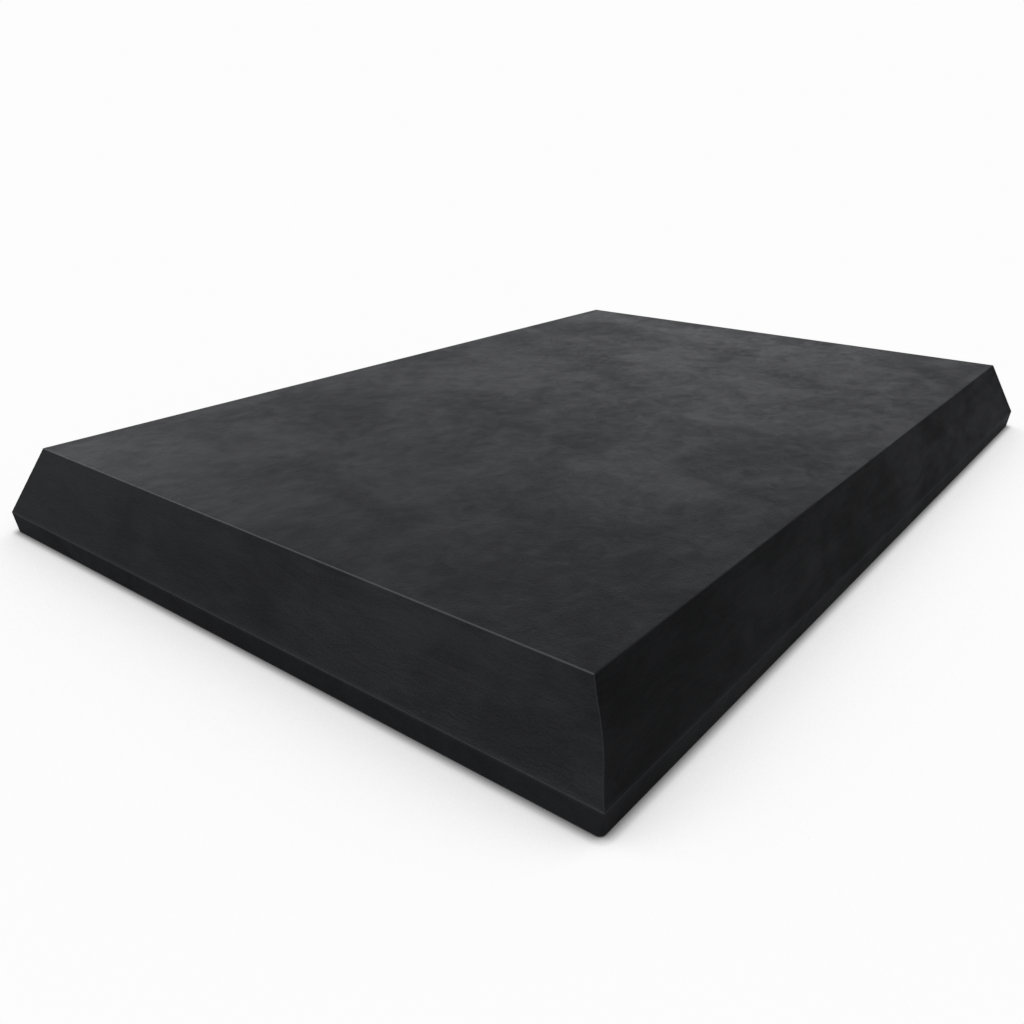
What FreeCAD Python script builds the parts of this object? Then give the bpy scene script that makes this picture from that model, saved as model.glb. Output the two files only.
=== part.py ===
import FreeCAD, Part
import os
import re
import Sketcher

# A foam balance pad in a sewn leatherette cover. The widest outline is a crease low on the sides:
# above it the sides slope in to the flat top, below it a low band stands on the floor. A coil zip
# runs along the rear slope, so that the foam comes out. The origin is at the middle of the
# underside, +X along the length, +Y to the rear, +Z up, and every size is in millimetres.

# Driving sizes: alias in the sheet, value, and what it is.
SIZES = [
    ("pad_length", 600, "length over the crease"),
    ("pad_width", 405, "width over the crease"),
    ("pad_height", 50, "floor to standing surface"),
    ("crease_height", 12, "floor to crease, the height of the band"),
    ("bevel_inset", 17, "how far the top edge stands in from the crease"),
    ("band_inset", 1, "how far the bottom edge stands in from the crease"),
    ("cover_thickness", 1.2, "leatherette with its knitted backing"),
    ("base_thickness", 1.5, "grip fabric of the underside"),
    ("foam_gap", 0.8, "foam sides to the inside of the cover"),
    ("zip_climb", 18, "crease to the zip's centre line, up the rear slope"),
    ("window_width", 13, "opening between the two rear strips, up the slope"),
    ("zip_end_length", 13, "corner to the window's end"),
    ("window_end_gap", 4, "window's end to the first or last zip element"),
    ("chain_gap", 1.4, "between the two coils, where the slider's wedge runs"),
    ("tape_width", 13, "each zip tape"),
    ("tape_thickness", 0.5, "each zip tape"),
    ("tape_tuck", 8, "tape that runs on behind an end tab"),
    ("coil_width", 2.4, "each coil, across the zip"),
    ("coil_thickness", 2.2, "each coil, off the tape"),
    ("stop_length", 3, "a zip stop, along the zip"),
    ("stop_lip", 0.3, "how far a stop stands round its coil"),
    ("run_clearance", 0.35, "between the slider and all it runs past"),
    ("plate_thickness", 1, "each plate of the slider"),
    ("rail_thickness", 0.9, "each side rail of the slider"),
    ("slider_length", 13, "along the zip"),
    ("slider_flare", 0.8, "how much wider each side is at the mouth"),
    ("wedge_thickness", 0.7, "the slider's wedge, between the coils"),
    ("wedge_length", 3.5, "the slider's wedge, along the zip"),
    ("wedge_setback", 1, "from the slider's mouth to its wedge"),
    ("bridge_width", 2.2, "the arch that holds the pull, across the zip"),
    ("bridge_length", 7.2, "the arch, along the zip"),
    ("bridge_thickness", 1, "the arch's legs and top"),
    ("bridge_shoulder", 0.8, "the arch's bevelled corners"),
    ("pull_bar", 1.4, "diameter of the pull's cross bar"),
    ("pull_arm", 1, "width of each arm of the pull"),
    ("pull_thickness", 1.4, "plate of the pull"),
    ("pull_length", 26, "cross bar to the pull's free end"),
    ("pull_width", 8, "free end of the pull"),
    ("pull_corner", 2, "cut corners of the pull's free end"),
    ("pull_hole", 2.6, "diameter of the hole in the pull"),
    ("pull_hole_inset", 4, "free end of the pull to the hole's centre"),
]

# Heights and slopes that follow from the sheet.
BEVEL_RISE = "(pad_height - crease_height)"
BEVEL_SLOPE_LENGTH = f"sqrt({BEVEL_RISE}^2 + bevel_inset^2)"
SLOPE_SINE = f"({BEVEL_RISE} / {BEVEL_SLOPE_LENGTH})"
SLOPE_COSINE = f"(bevel_inset / {BEVEL_SLOPE_LENGTH})"
TOP_PANEL_UNDERSIDE = "(pad_height - cover_thickness)"
BEVEL_WALL = f"(cover_thickness / {SLOPE_SINE})"
WINDOW_LOW = f"(crease_height + (zip_climb - window_width / 2) * {SLOPE_SINE})"
WINDOW_HIGH = f"(crease_height + (zip_climb + window_width / 2) * {SLOPE_SINE})"

# Levels off the rear slope, outwards from its face, in the zip's own frame.
TAPE_FACE = "(-cover_thickness)"
TAPE_BACK = "(-cover_thickness - tape_thickness)"
COIL_FACE = "(-cover_thickness + coil_thickness)"
UPPER_PLATE_BACK = f"({COIL_FACE} + run_clearance)"
UPPER_PLATE_FACE = f"({UPPER_PLATE_BACK} + plate_thickness)"
LOWER_PLATE_FACE = f"({TAPE_BACK} - run_clearance)"
LOWER_PLATE_BACK = f"({LOWER_PLATE_FACE} - plate_thickness)"
PULL_AXIS = f"({UPPER_PLATE_FACE} + run_clearance + pull_bar / 2)"
BRIDGE_TOP = f"({PULL_AXIS} + pull_bar / 2 + run_clearance + bridge_thickness)"

# Distances across the zip, from its centre line.
TAPE_EDGE = "(chain_gap / 2)"
COIL_EDGE = f"({TAPE_EDGE} + coil_width)"
RAIL_INSIDE = f"({COIL_EDGE} + run_clearance)"
SLIDER_HALF_WIDTH = f"({RAIL_INSIDE} + rail_thickness)"
ARM_INSIDE = "(bridge_width / 2 + run_clearance)"
ARM_OUTSIDE = f"({ARM_INSIDE} + pull_arm)"

# Distances along the zip, from the middle of the rear side.
WINDOW_INSET = f"(({WINDOW_HIGH} - crease_height) * bevel_inset / {BEVEL_RISE})"
WINDOW_END = f"(pad_length / 2 - {WINDOW_INSET} - zip_end_length)"
CHAIN_END = f"({WINDOW_END} - window_end_gap)"
COIL_END = f"({CHAIN_END} - stop_length)"
SLIDER_REST = f"({COIL_END} - run_clearance - slider_length / 2)"
BRIDGE_REACH = f"sqrt((bridge_length / 2)^2 + ({BRIDGE_TOP} - {PULL_AXIS})^2)"
PULL_PLATE_START = f"({BRIDGE_REACH} + run_clearance)"

doc = FreeCAD.newDocument("BalancePad")
sheet = doc.addObject("Spreadsheet::Sheet", "Sizes")
PARTS = []


def fill_sheet():
    for row, (alias, value, meaning) in enumerate(SIZES, start=1):
        sheet.set(f"A{row}", meaning)
        sheet.set(f"B{row}", str(value))
        sheet.setAlias(f"B{row}", alias)
    doc.recompute()


def from_sheet(text):
    """The same expression with each alias pointing at the sheet."""
    aliases = "|".join(alias for alias, value, meaning in SIZES)
    return re.sub(rf"\b({aliases})\b", r"Sizes.\1", text)


def bind(thing, path, text):
    thing.setExpression(path, from_sheet(text))


def inset_at(height):
    """How far the outer face stands in from the crease at a height, as an expression."""
    if height in ("0", "base_thickness"):
        return f"((crease_height - {height}) * band_inset / crease_height)"
    return f"(({height} - crease_height) * bevel_inset / {BEVEL_RISE})"


def new_body(label):
    body = doc.addObject("PartDesign::Body", label)
    body.Label = label
    PARTS.append(body)
    return body


def origin_plane(body, role):
    return next(plane for plane in body.Origin.OriginFeatures if plane.Role == role)


def new_sketch(body, name, role="XY_Plane", offset="0"):
    """A sketch on one of the body's own planes, moved along that plane's normal."""
    sketch = body.newObject("Sketcher::SketchObject", name)
    sketch.AttachmentSupport = [(origin_plane(body, role), "")]
    sketch.MapMode = "FlatFace"
    bind(sketch, "AttachmentOffset.Base.z", offset)
    return sketch


def outline(sketch, corners):
    """A closed outline of straight lines. Each corner is a pair of expressions, bound as distances
    from the sketch's origin, and each has a rough starting place so that the solver keeps its side."""
    places = [(evaluate(across), evaluate(up)) for across, up in corners]
    first = sketch.GeometryCount
    for start, end in zip(places, places[1:] + places[:1]):
        line = Part.LineSegment(FreeCAD.Vector(*start, 0), FreeCAD.Vector(*end, 0))
        sketch.addGeometry(line, False)
    for index, (across, up) in enumerate(corners):
        line = first + index
        following = first + (index + 1) % len(corners)
        sketch.addConstraint(Sketcher.Constraint("Coincident", line, 2, following, 1))
        for kind, distance in (("DistanceX", across), ("DistanceY", up)):
            number = sketch.addConstraint(Sketcher.Constraint(kind, -1, 1, line, 1, evaluate(distance)))
            bind(sketch, f"Constraints[{number}]", distance)


def circle(sketch, across, up, radius):
    centre = FreeCAD.Vector(evaluate(across), evaluate(up), 0)
    ring = sketch.addGeometry(Part.Circle(centre, FreeCAD.Vector(0, 0, 1), evaluate(radius)), False)
    for kind, distance in (("DistanceX", across), ("DistanceY", up)):
        number = sketch.addConstraint(Sketcher.Constraint(kind, -1, 1, ring, 3, evaluate(distance)))
        bind(sketch, f"Constraints[{number}]", distance)
    number = sketch.addConstraint(Sketcher.Constraint("Radius", ring, evaluate(radius)))
    bind(sketch, f"Constraints[{number}]", radius)


def evaluate(text):
    """The present value of an expression of the sheet's sizes."""
    value = sheet.evalExpression(from_sheet(str(text)))
    return float(getattr(value, "Value", value))


def pad(body, sketch, length, midplane=False):
    feature = body.newObject("PartDesign::Pad", sketch.Name + "_pad")
    feature.Profile = sketch
    bind(feature, "Length", length)
    feature.Midplane = midplane
    return feature


def pocket(body, sketch, length):
    """Cuts to both sides of the sketch and checks that the cut took something away."""
    doc.recompute()
    before = body.Shape.Volume
    feature = body.newObject("PartDesign::Pocket", sketch.Name + "_cut")
    feature.Profile = sketch
    bind(feature, "Length", length)
    feature.Midplane = True
    doc.recompute()
    if body.Shape.Volume > before - 1e-3:
        raise RuntimeError(f"{sketch.Name} cuts nothing from {body.Label}")
    return feature


def loft(body, lower, upper):
    feature = body.newObject("PartDesign::AdditiveLoft", body.Name + "_loft")
    feature.Profile = lower
    feature.Sections = [upper]
    feature.Ruled = True
    return feature


# Cover and foam. Each is a slice of the pad between two heights, with plane sides.

def slab(label, low, high, margin_low="0", margin_high="0"):
    """A rectangular layer whose sides follow the pad's outer face, set in by a margin."""
    body = new_body(label)
    sketches = []
    for height, margin, end in ((low, margin_low, "low"), (high, margin_high, "high")):
        half_long = f"(pad_length / 2 - {inset_at(height)} - {margin})"
        half_wide = f"(pad_width / 2 - {inset_at(height)} - {margin})"
        sketch = new_sketch(body, f"{label}_{end}", offset=height)
        outline(sketch, [
            (f"-{half_long}", f"-{half_wide}"),
            (half_long, f"-{half_wide}"),
            (half_long, half_wide),
            (f"-{half_long}", half_wide),
        ])
        sketches.append(sketch)
    loft(body, *sketches)
    return body


def side_strip(label, side, low, high, wall, starts_at=None):
    """A panel of one side between two heights. Its ends are mitred at the corners; a strip with
    starts_at runs only from there to the corner on its right, seen from outside."""
    turn, along, across = {
        "front": (0, "pad_length", "pad_width"),
        "right": (90, "pad_width", "pad_length"),
        "rear": (180, "pad_length", "pad_width"),
        "left": (-90, "pad_width", "pad_length"),
    }[side]
    body = new_body(label)
    sketches = []
    for height, end in ((low, "low"), (high, "high")):
        inset = inset_at(height)
        half_along = f"({along} / 2 - {inset})"
        outer = f"(-{across} / 2 + {inset})"
        outer_start = starts_at or f"-{half_along}"
        inner_start = starts_at or f"(-{half_along} + {wall})"
        sketch = new_sketch(body, f"{label}_{end}", offset=height)
        outline(sketch, [
            (outer_start, outer),
            (half_along, outer),
            (f"({half_along} - {wall})", f"({outer} + {wall})"),
            (inner_start, f"({outer} + {wall})"),
        ])
        sketches.append(sketch)
    loft(body, *sketches)
    body.Placement = FreeCAD.Placement(
        FreeCAD.Vector(0, 0, 0), FreeCAD.Rotation(FreeCAD.Vector(0, 0, 1), turn)
    )
    return body


def mirrored(label, source):
    """The same piece the other way round in X."""
    copy = doc.addObject("Part::Mirroring", label)
    copy.Label = label
    copy.Source = source
    copy.Normal = FreeCAD.Vector(1, 0, 0)
    PARTS.append(copy)
    return copy


def make_cover():
    slab("base_panel", "0", "base_thickness")
    slab("cover_top_panel", TOP_PANEL_UNDERSIDE, "pad_height")
    for side in ("front", "rear", "left", "right"):
        side_strip(f"{side}_band", side, "base_thickness", "crease_height", "cover_thickness")
    for side in ("front", "left", "right"):
        side_strip(f"{side}_bevel_panel", side, "crease_height", TOP_PANEL_UNDERSIDE, BEVEL_WALL)
    side_strip("rear_bevel_lower_strip", "rear", "crease_height", WINDOW_LOW, BEVEL_WALL)
    side_strip("rear_bevel_upper_strip", "rear", WINDOW_HIGH, TOP_PANEL_UNDERSIDE, BEVEL_WALL)
    left_tab = side_strip("zip_end_tab_left", "rear", WINDOW_LOW, WINDOW_HIGH, BEVEL_WALL, WINDOW_END)
    mirrored("zip_end_tab_right", left_tab)


def make_foam():
    slab("foam_base_layer", "base_thickness", "crease_height",
         "(cover_thickness + foam_gap)", "(cover_thickness + foam_gap)")
    margin = f"({BEVEL_WALL} + foam_gap / {SLOPE_SINE})"
    block = slab("foam_top_block", "crease_height", TOP_PANEL_UNDERSIDE, margin, margin)
    PARTS.remove(block)

    # The foam gives way behind the slider, so its pressed face has a shallow channel there.
    half_long = f"({COIL_END} + run_clearance)"
    half_wide = f"({SLIDER_HALF_WIDTH} + slider_flare + run_clearance)"
    depth = f"(run_clearance - {LOWER_PLATE_BACK})"
    channel = doc.addObject("Part::Box", "zip_channel")
    bind(channel, "Length", f"2 * {half_long}")
    bind(channel, "Width", f"2 * {half_wide}")
    bind(channel, "Height", depth)
    on_zip(channel, f"-{half_long}", f"-{half_wide}", f"-{depth}")
    foam = doc.addObject("Part::Cut", "foam_top_layer")
    foam.Label = "foam_top_layer"
    foam.Base = block
    foam.Tool = channel
    PARTS.append(foam)
    doc.recompute()
    if foam.Shape.Volume > block.Shape.Volume - 1:
        raise RuntimeError("the zip channel cuts nothing from the foam")


# The zip. Its frame sits on the outer face of the rear slope, on the zip's centre line at mid length:
# x to the right and y up the slope, as seen from behind, and z straight out of the slope.

def on_zip(thing, along="0", across="0", out="0"):
    """Places a body in the zip's frame, moved by three expressions. The frame is the pad's own
    turned by half a turn about an axis half way between its z and the slope's normal."""
    sine = SLOPE_SINE
    cosine = SLOPE_COSINE
    base_x = f"-1 * ({along})"
    base_y = f"pad_width / 2 - (zip_climb + ({across})) * {cosine} + ({out}) * {sine}"
    base_z = f"crease_height + (zip_climb + ({across})) * {sine} + ({out}) * {cosine}"
    half_turn_y = f"sqrt((1 - {cosine}) / 2)"
    half_turn_z = f"sqrt((1 + {cosine}) / 2)"
    bind(thing, "Placement.Base.x", base_x)
    bind(thing, "Placement.Base.y", base_y)
    bind(thing, "Placement.Base.z", base_z)
    thing.Placement.Rotation = FreeCAD.Rotation(FreeCAD.Vector(0, 0.5, 0.8), 180)
    bind(thing, "Placement.Rotation.Axis.y", half_turn_y)
    bind(thing, "Placement.Rotation.Axis.z", half_turn_z)


def zip_strip(label, side, near, far, low, high, start, end):
    """A straight strip of the zip, above (+1) or below (-1) its centre line."""
    body = new_body(label)
    sketch = new_sketch(body, label + "_outline", offset=low)
    outline(sketch, [
        (start, f"({side} * {near})"),
        (end, f"({side} * {near})"),
        (end, f"({side} * {far})"),
        (start, f"({side} * {far})"),
    ])
    pad(body, sketch, f"{high} - {low}")
    on_zip(body)
    return body


def make_zip_tapes_and_coils():
    tape_end = f"({WINDOW_END} + tape_tuck)"
    tape_far = f"({TAPE_EDGE} + tape_width)"
    for side, name in ((1, "upper"), (-1, "lower")):
        zip_strip(f"zip_tape_{name}", side, TAPE_EDGE, tape_far, TAPE_BACK, TAPE_FACE,
                  f"-{tape_end}", tape_end)
        zip_strip(f"zip_coil_{name}", side, TAPE_EDGE, COIL_EDGE, TAPE_FACE, COIL_FACE,
                  f"-{COIL_END}", COIL_END)


def make_zip_stops():
    """Two top stops, one on each tape, at the closed end; one bottom stop across both tapes."""
    height = f"({COIL_FACE} + stop_lip)"
    stop_far = f"({COIL_EDGE} + stop_lip)"
    halves = []
    for side, name in ((1, "upper"), (-1, "lower")):
        half = zip_strip(f"zip_top_stop_{name}", side, TAPE_EDGE, stop_far, TAPE_FACE, height,
                         COIL_END, CHAIN_END)
        PARTS.remove(half)
        halves.append(half)
    stops = doc.addObject("Part::Compound", "zip_top_stops")
    stops.Label = "zip_top_stops"
    stops.Links = halves
    PARTS.append(stops)

    bottom = new_body("zip_bottom_stop")
    sketch = new_sketch(bottom, "zip_bottom_stop_outline", offset=TAPE_FACE)
    outline(sketch, [
        (f"-{CHAIN_END}", f"-{stop_far}"),
        (f"-{COIL_END}", f"-{stop_far}"),
        (f"-{COIL_END}", stop_far),
        (f"-{CHAIN_END}", stop_far),
    ])
    pad(bottom, sketch, f"{height} - {TAPE_FACE}")
    on_zip(bottom)


def slider_outline(half_width, reach):
    """The slider from above, or the coils' way through it: straight at its tail, wider at its mouth.
    It reaches the same way to both sides of its middle."""
    mouth = f"({half_width} + slider_flare)"
    flare_start = "(-slider_length / 12)"
    flare_end = "(slider_length / 4)"
    upper = [(f"-{reach}", half_width), (flare_start, half_width), (flare_end, mouth), (reach, mouth)]
    lower = [(along, f"(-1 * {across})") for along, across in upper]
    return lower + upper[::-1]


def make_zip_slider():
    body = new_body("zip_slider")

    # Upper plate with its rails, as one block that the coils' way is then cut out of.
    rail_foot = f"({TAPE_FACE} + run_clearance)"
    plate_end = "(slider_length / 2)"
    block = new_sketch(body, "slider_block", offset=rail_foot)
    outline(block, slider_outline(SLIDER_HALF_WIDTH, plate_end))
    pad(body, block, f"{UPPER_PLATE_FACE} - {rail_foot}")
    way = new_sketch(body, "coil_way", offset=rail_foot)
    outline(way, slider_outline(RAIL_INSIDE, "(slider_length)"))
    pocket(body, way, f"2 * ({UPPER_PLATE_BACK} - {rail_foot})")

    # The wedge joins the lower plate, behind the tapes, to the upper one.
    wedge = new_sketch(body, "wedge", offset=LOWER_PLATE_FACE)
    wedge_end = "(slider_length / 2 - wedge_setback)"
    wedge_start = f"({wedge_end} - wedge_length)"
    outline(wedge, [
        (wedge_start, "(-wedge_thickness / 2)"),
        (wedge_end, "(-wedge_thickness / 2)"),
        (wedge_end, "(wedge_thickness / 2)"),
        (wedge_start, "(wedge_thickness / 2)"),
    ])
    pad(body, wedge, f"{UPPER_PLATE_BACK} - {LOWER_PLATE_FACE}")
    lower = new_sketch(body, "lower_plate", offset=LOWER_PLATE_BACK)
    outline(lower, slider_outline(SLIDER_HALF_WIDTH, plate_end))
    pad(body, lower, "plate_thickness")

    # The arch that holds the pull, drawn from the side; its opening goes right across.
    arch = new_sketch(body, "bridge", "XZ_Plane")
    outer_end = "(bridge_length / 2)"
    inner_end = "(bridge_length / 2 - bridge_thickness)"
    shoulder = "(bridge_length / 2 - bridge_shoulder)"
    shoulder_height = f"({BRIDGE_TOP} - bridge_shoulder)"
    under = f"({BRIDGE_TOP} - bridge_thickness)"
    outline(arch, [
        (f"-{outer_end}", UPPER_PLATE_FACE),
        (f"-{inner_end}", UPPER_PLATE_FACE),
        (f"-{inner_end}", under),
        (inner_end, under),
        (inner_end, UPPER_PLATE_FACE),
        (outer_end, UPPER_PLATE_FACE),
        (outer_end, shoulder_height),
        (shoulder, BRIDGE_TOP),
        (f"-{shoulder}", BRIDGE_TOP),
        (f"-{outer_end}", shoulder_height),
    ])
    pad(body, arch, "bridge_width", midplane=True)
    on_zip(body, SLIDER_REST)


def make_zip_pull_tab():
    """The pull lies back along the closed zip. Its origin is on the hinge axis, the cross bar."""
    body = new_body("zip_pull_tab")
    bar = new_sketch(body, "cross_bar", "XZ_Plane")
    circle(bar, "0", "0", "(pull_bar / 2)")
    pad(body, bar, f"2 * {ARM_OUTSIDE}", midplane=True)

    frame = new_sketch(body, "pull_outline", offset="(-pull_thickness / 2)")
    neck = f"(-1 * {PULL_PLATE_START})"
    free_end = "(-pull_length)"
    half_width = "(pull_width / 2)"
    outline(frame, [
        ("0", ARM_INSIDE),
        ("0", ARM_OUTSIDE),
        (neck, ARM_OUTSIDE),
        (f"({free_end} + pull_corner)", half_width),
        (free_end, f"({half_width} - pull_corner)"),
        (free_end, f"(-{half_width} + pull_corner)"),
        (f"({free_end} + pull_corner)", f"-{half_width}"),
        (neck, f"-{ARM_OUTSIDE}"),
        ("0", f"-{ARM_OUTSIDE}"),
        ("0", f"-{ARM_INSIDE}"),
        (neck, f"-{ARM_INSIDE}"),
        (neck, ARM_INSIDE),
    ])
    pad(body, frame, "pull_thickness")
    hole = new_sketch(body, "pull_hole")
    circle(hole, f"({free_end} + pull_hole_inset)", "0", "(pull_hole / 2)")
    pocket(body, hole, "2 * pull_thickness")
    on_zip(body, SLIDER_REST, "0", PULL_AXIS)


def check_and_write():
    doc.recompute()
    for thing in doc.Objects:
        if "Invalid" in thing.State or "Error" in thing.State:
            raise RuntimeError(f"{thing.Label} failed: {thing.State}")
    for piece in PARTS:
        if piece.Shape.isNull() or not piece.Shape.isValid():
            raise RuntimeError(f"{piece.Label} has no valid shape")
    os.makedirs("parts", exist_ok=True)
    for piece in PARTS:
        piece.Shape.exportStep(f"parts/{piece.Label}.step")
        print(f"{piece.Label}: {piece.Shape.Volume / 1000:.3f} cm3, {len(piece.Shape.Solids)} solid(s)")
    print("the slider travels", round(2 * evaluate(SLIDER_REST), 3), "mm towards +X")
    print("the pull turns about", doc.getObject("zip_pull_tab").Placement.Base)


fill_sheet()
make_cover()
make_foam()
make_zip_tapes_and_coils()
make_zip_stops()
make_zip_slider()
make_zip_pull_tab()
check_and_write()
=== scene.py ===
# %% [markdown]
# # A foam balance pad in a sewn leatherette cover
# The pad is a low slab that a person stands on to train their balance: two bonded layers of foam in
# a dark cover. This notebook dresses its fixed CAD model, which is loaded first and never moved. All
# lengths below are in metres, so a value in millimetres is written as a number times MM.

# %% Load the fixed model
import math

import bmesh
import bpy
import numpy as np
from mathutils import Matrix, Vector, noise


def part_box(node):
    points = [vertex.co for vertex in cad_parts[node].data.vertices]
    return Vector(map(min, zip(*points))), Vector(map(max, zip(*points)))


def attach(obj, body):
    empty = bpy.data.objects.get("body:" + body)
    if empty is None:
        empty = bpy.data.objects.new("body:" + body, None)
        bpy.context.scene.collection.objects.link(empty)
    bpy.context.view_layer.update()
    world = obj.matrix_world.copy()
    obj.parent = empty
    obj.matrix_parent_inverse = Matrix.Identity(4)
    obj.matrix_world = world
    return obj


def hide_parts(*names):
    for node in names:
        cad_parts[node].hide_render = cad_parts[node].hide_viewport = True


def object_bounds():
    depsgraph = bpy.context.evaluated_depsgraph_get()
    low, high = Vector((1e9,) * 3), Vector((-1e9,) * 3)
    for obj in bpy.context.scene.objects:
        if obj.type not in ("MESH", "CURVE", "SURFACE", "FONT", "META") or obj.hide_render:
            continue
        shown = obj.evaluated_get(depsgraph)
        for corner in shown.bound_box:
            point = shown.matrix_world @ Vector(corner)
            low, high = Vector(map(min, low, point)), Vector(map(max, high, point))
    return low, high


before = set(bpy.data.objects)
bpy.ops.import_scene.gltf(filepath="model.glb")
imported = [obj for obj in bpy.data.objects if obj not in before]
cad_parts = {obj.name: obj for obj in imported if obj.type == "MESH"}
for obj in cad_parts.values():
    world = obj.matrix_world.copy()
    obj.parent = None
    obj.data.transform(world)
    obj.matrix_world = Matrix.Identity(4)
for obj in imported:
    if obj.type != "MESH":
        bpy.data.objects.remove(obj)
CAD_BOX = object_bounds()
MM = 0.001

# %% [markdown]
# ## The pad's outline
# Every visible surface follows one outline: a crease at the widest place, a slope above it and a low
# band below it. The numbers are read back from the CAD pieces, so the looks can't drift from it.

# %% Read the outline from the CAD pieces
HALF_LENGTH, HALF_WIDTH, TOP_Z = CAD_BOX[1]
CREASE_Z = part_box("front_band")[1].z
top_low, top_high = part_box("cover_top_panel")
COVER_THICKNESS = TOP_Z - top_low.z
SLOPE_RUN = (HALF_WIDTH - top_high.y) / (top_low.z - CREASE_Z)
base_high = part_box("base_panel")[1]
BAND_RUN = (HALF_WIDTH - base_high.y) / (CREASE_Z - base_high.z)
WINDOW_LOW_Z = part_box("rear_bevel_lower_strip")[1].z
WINDOW_HIGH_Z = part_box("rear_bevel_upper_strip")[0].z
SLOPE = math.atan2(1, SLOPE_RUN)


def inset_at(height):
    """How far the outer face stands in from the crease at a height."""
    if height < CREASE_Z:
        return (CREASE_Z - height) * BAND_RUN
    return (height - CREASE_Z) * SLOPE_RUN


print("top edge inset", round(inset_at(TOP_Z) / MM, 2), "mm, slope", round(math.degrees(SLOPE), 1), "degrees")

# %% [markdown]
# ## Two small helpers for node trees
# Materials and Geometry Nodes are both made of nodes. One function adds a node, sets its options and
# fills its sockets: a socket that is given another node's output is linked, any other value is typed in.

# %% Node and colour helpers
def add_node(tree, kind, sockets=None, **settings):
    new = tree.nodes.new(kind)
    for name, value in settings.items():
        setattr(new, name, value)
    for key, value in (sockets or {}).items():
        if isinstance(value, bpy.types.NodeSocket):
            tree.links.new(value, new.inputs[key])
        else:
            new.inputs[key].default_value = value
    return new


def paint(hex_code):
    """An sRGB hex colour as the linear numbers that shaders take."""
    shares = [int(hex_code[i:i + 2], 16) / 255 for i in (1, 3, 5)]
    linear = [s / 12.92 if s <= 0.04045 else ((s + 0.055) / 1.055) ** 2.4 for s in shares]
    return (*linear, 1.0)


def new_material(name):
    material = bpy.data.materials.new(name)
    material.use_nodes = True
    material.node_tree.nodes.clear()
    return material, material.node_tree


def finish_material(tree, shader):
    add_node(tree, "ShaderNodeOutputMaterial", {"Surface": shader.outputs["BSDF"]})


# %% [markdown]
# ## Leatherette
# The cover is PU leatherette: a knitted backing coated with charcoal polyurethane and embossed with a
# fine grain. To the eye it is matte, so it is dark face on and pale at a glancing angle. Its colour is
# cloudy where hands and feet have rubbed it, it carries short shallow creases, and its outer edges are
# painted pale: partly wear, partly a painted highlight along the seams, strongest on the edge between the
# top and the left slope. An image texture could show this, but it would repeat; noise never does. The
# creases run along each cut panel, so they follow the panel's own flat coordinates, stored in a UV map
# named cut whose unit is the metre. The clouds cross the seams freely and follow Object coordinates. The
# speck is drawn a little coarser than the real grain, which is too fine to show; its pale points are
# painted glints where the grain catches light.

# %% Leatherette material
CLOUD_SIZE, SMUDGE_SIZE, SPECK_SIZE = 70 * MM, 14 * MM, 1.1 * MM
GRAIN_DEPTH, SPECK_DEPTH, CREASE_DEPTH = 0.06 * MM, 0.08 * MM, 0.22 * MM
# The last colour is the pale of the seam edges: partly wear, partly a painted highlight.
DARK_SKIN, PALE_SKIN, WORN_AND_HIGHLIT_SKIN = "#171819", "#28292b", "#a6a8ab"


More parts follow.
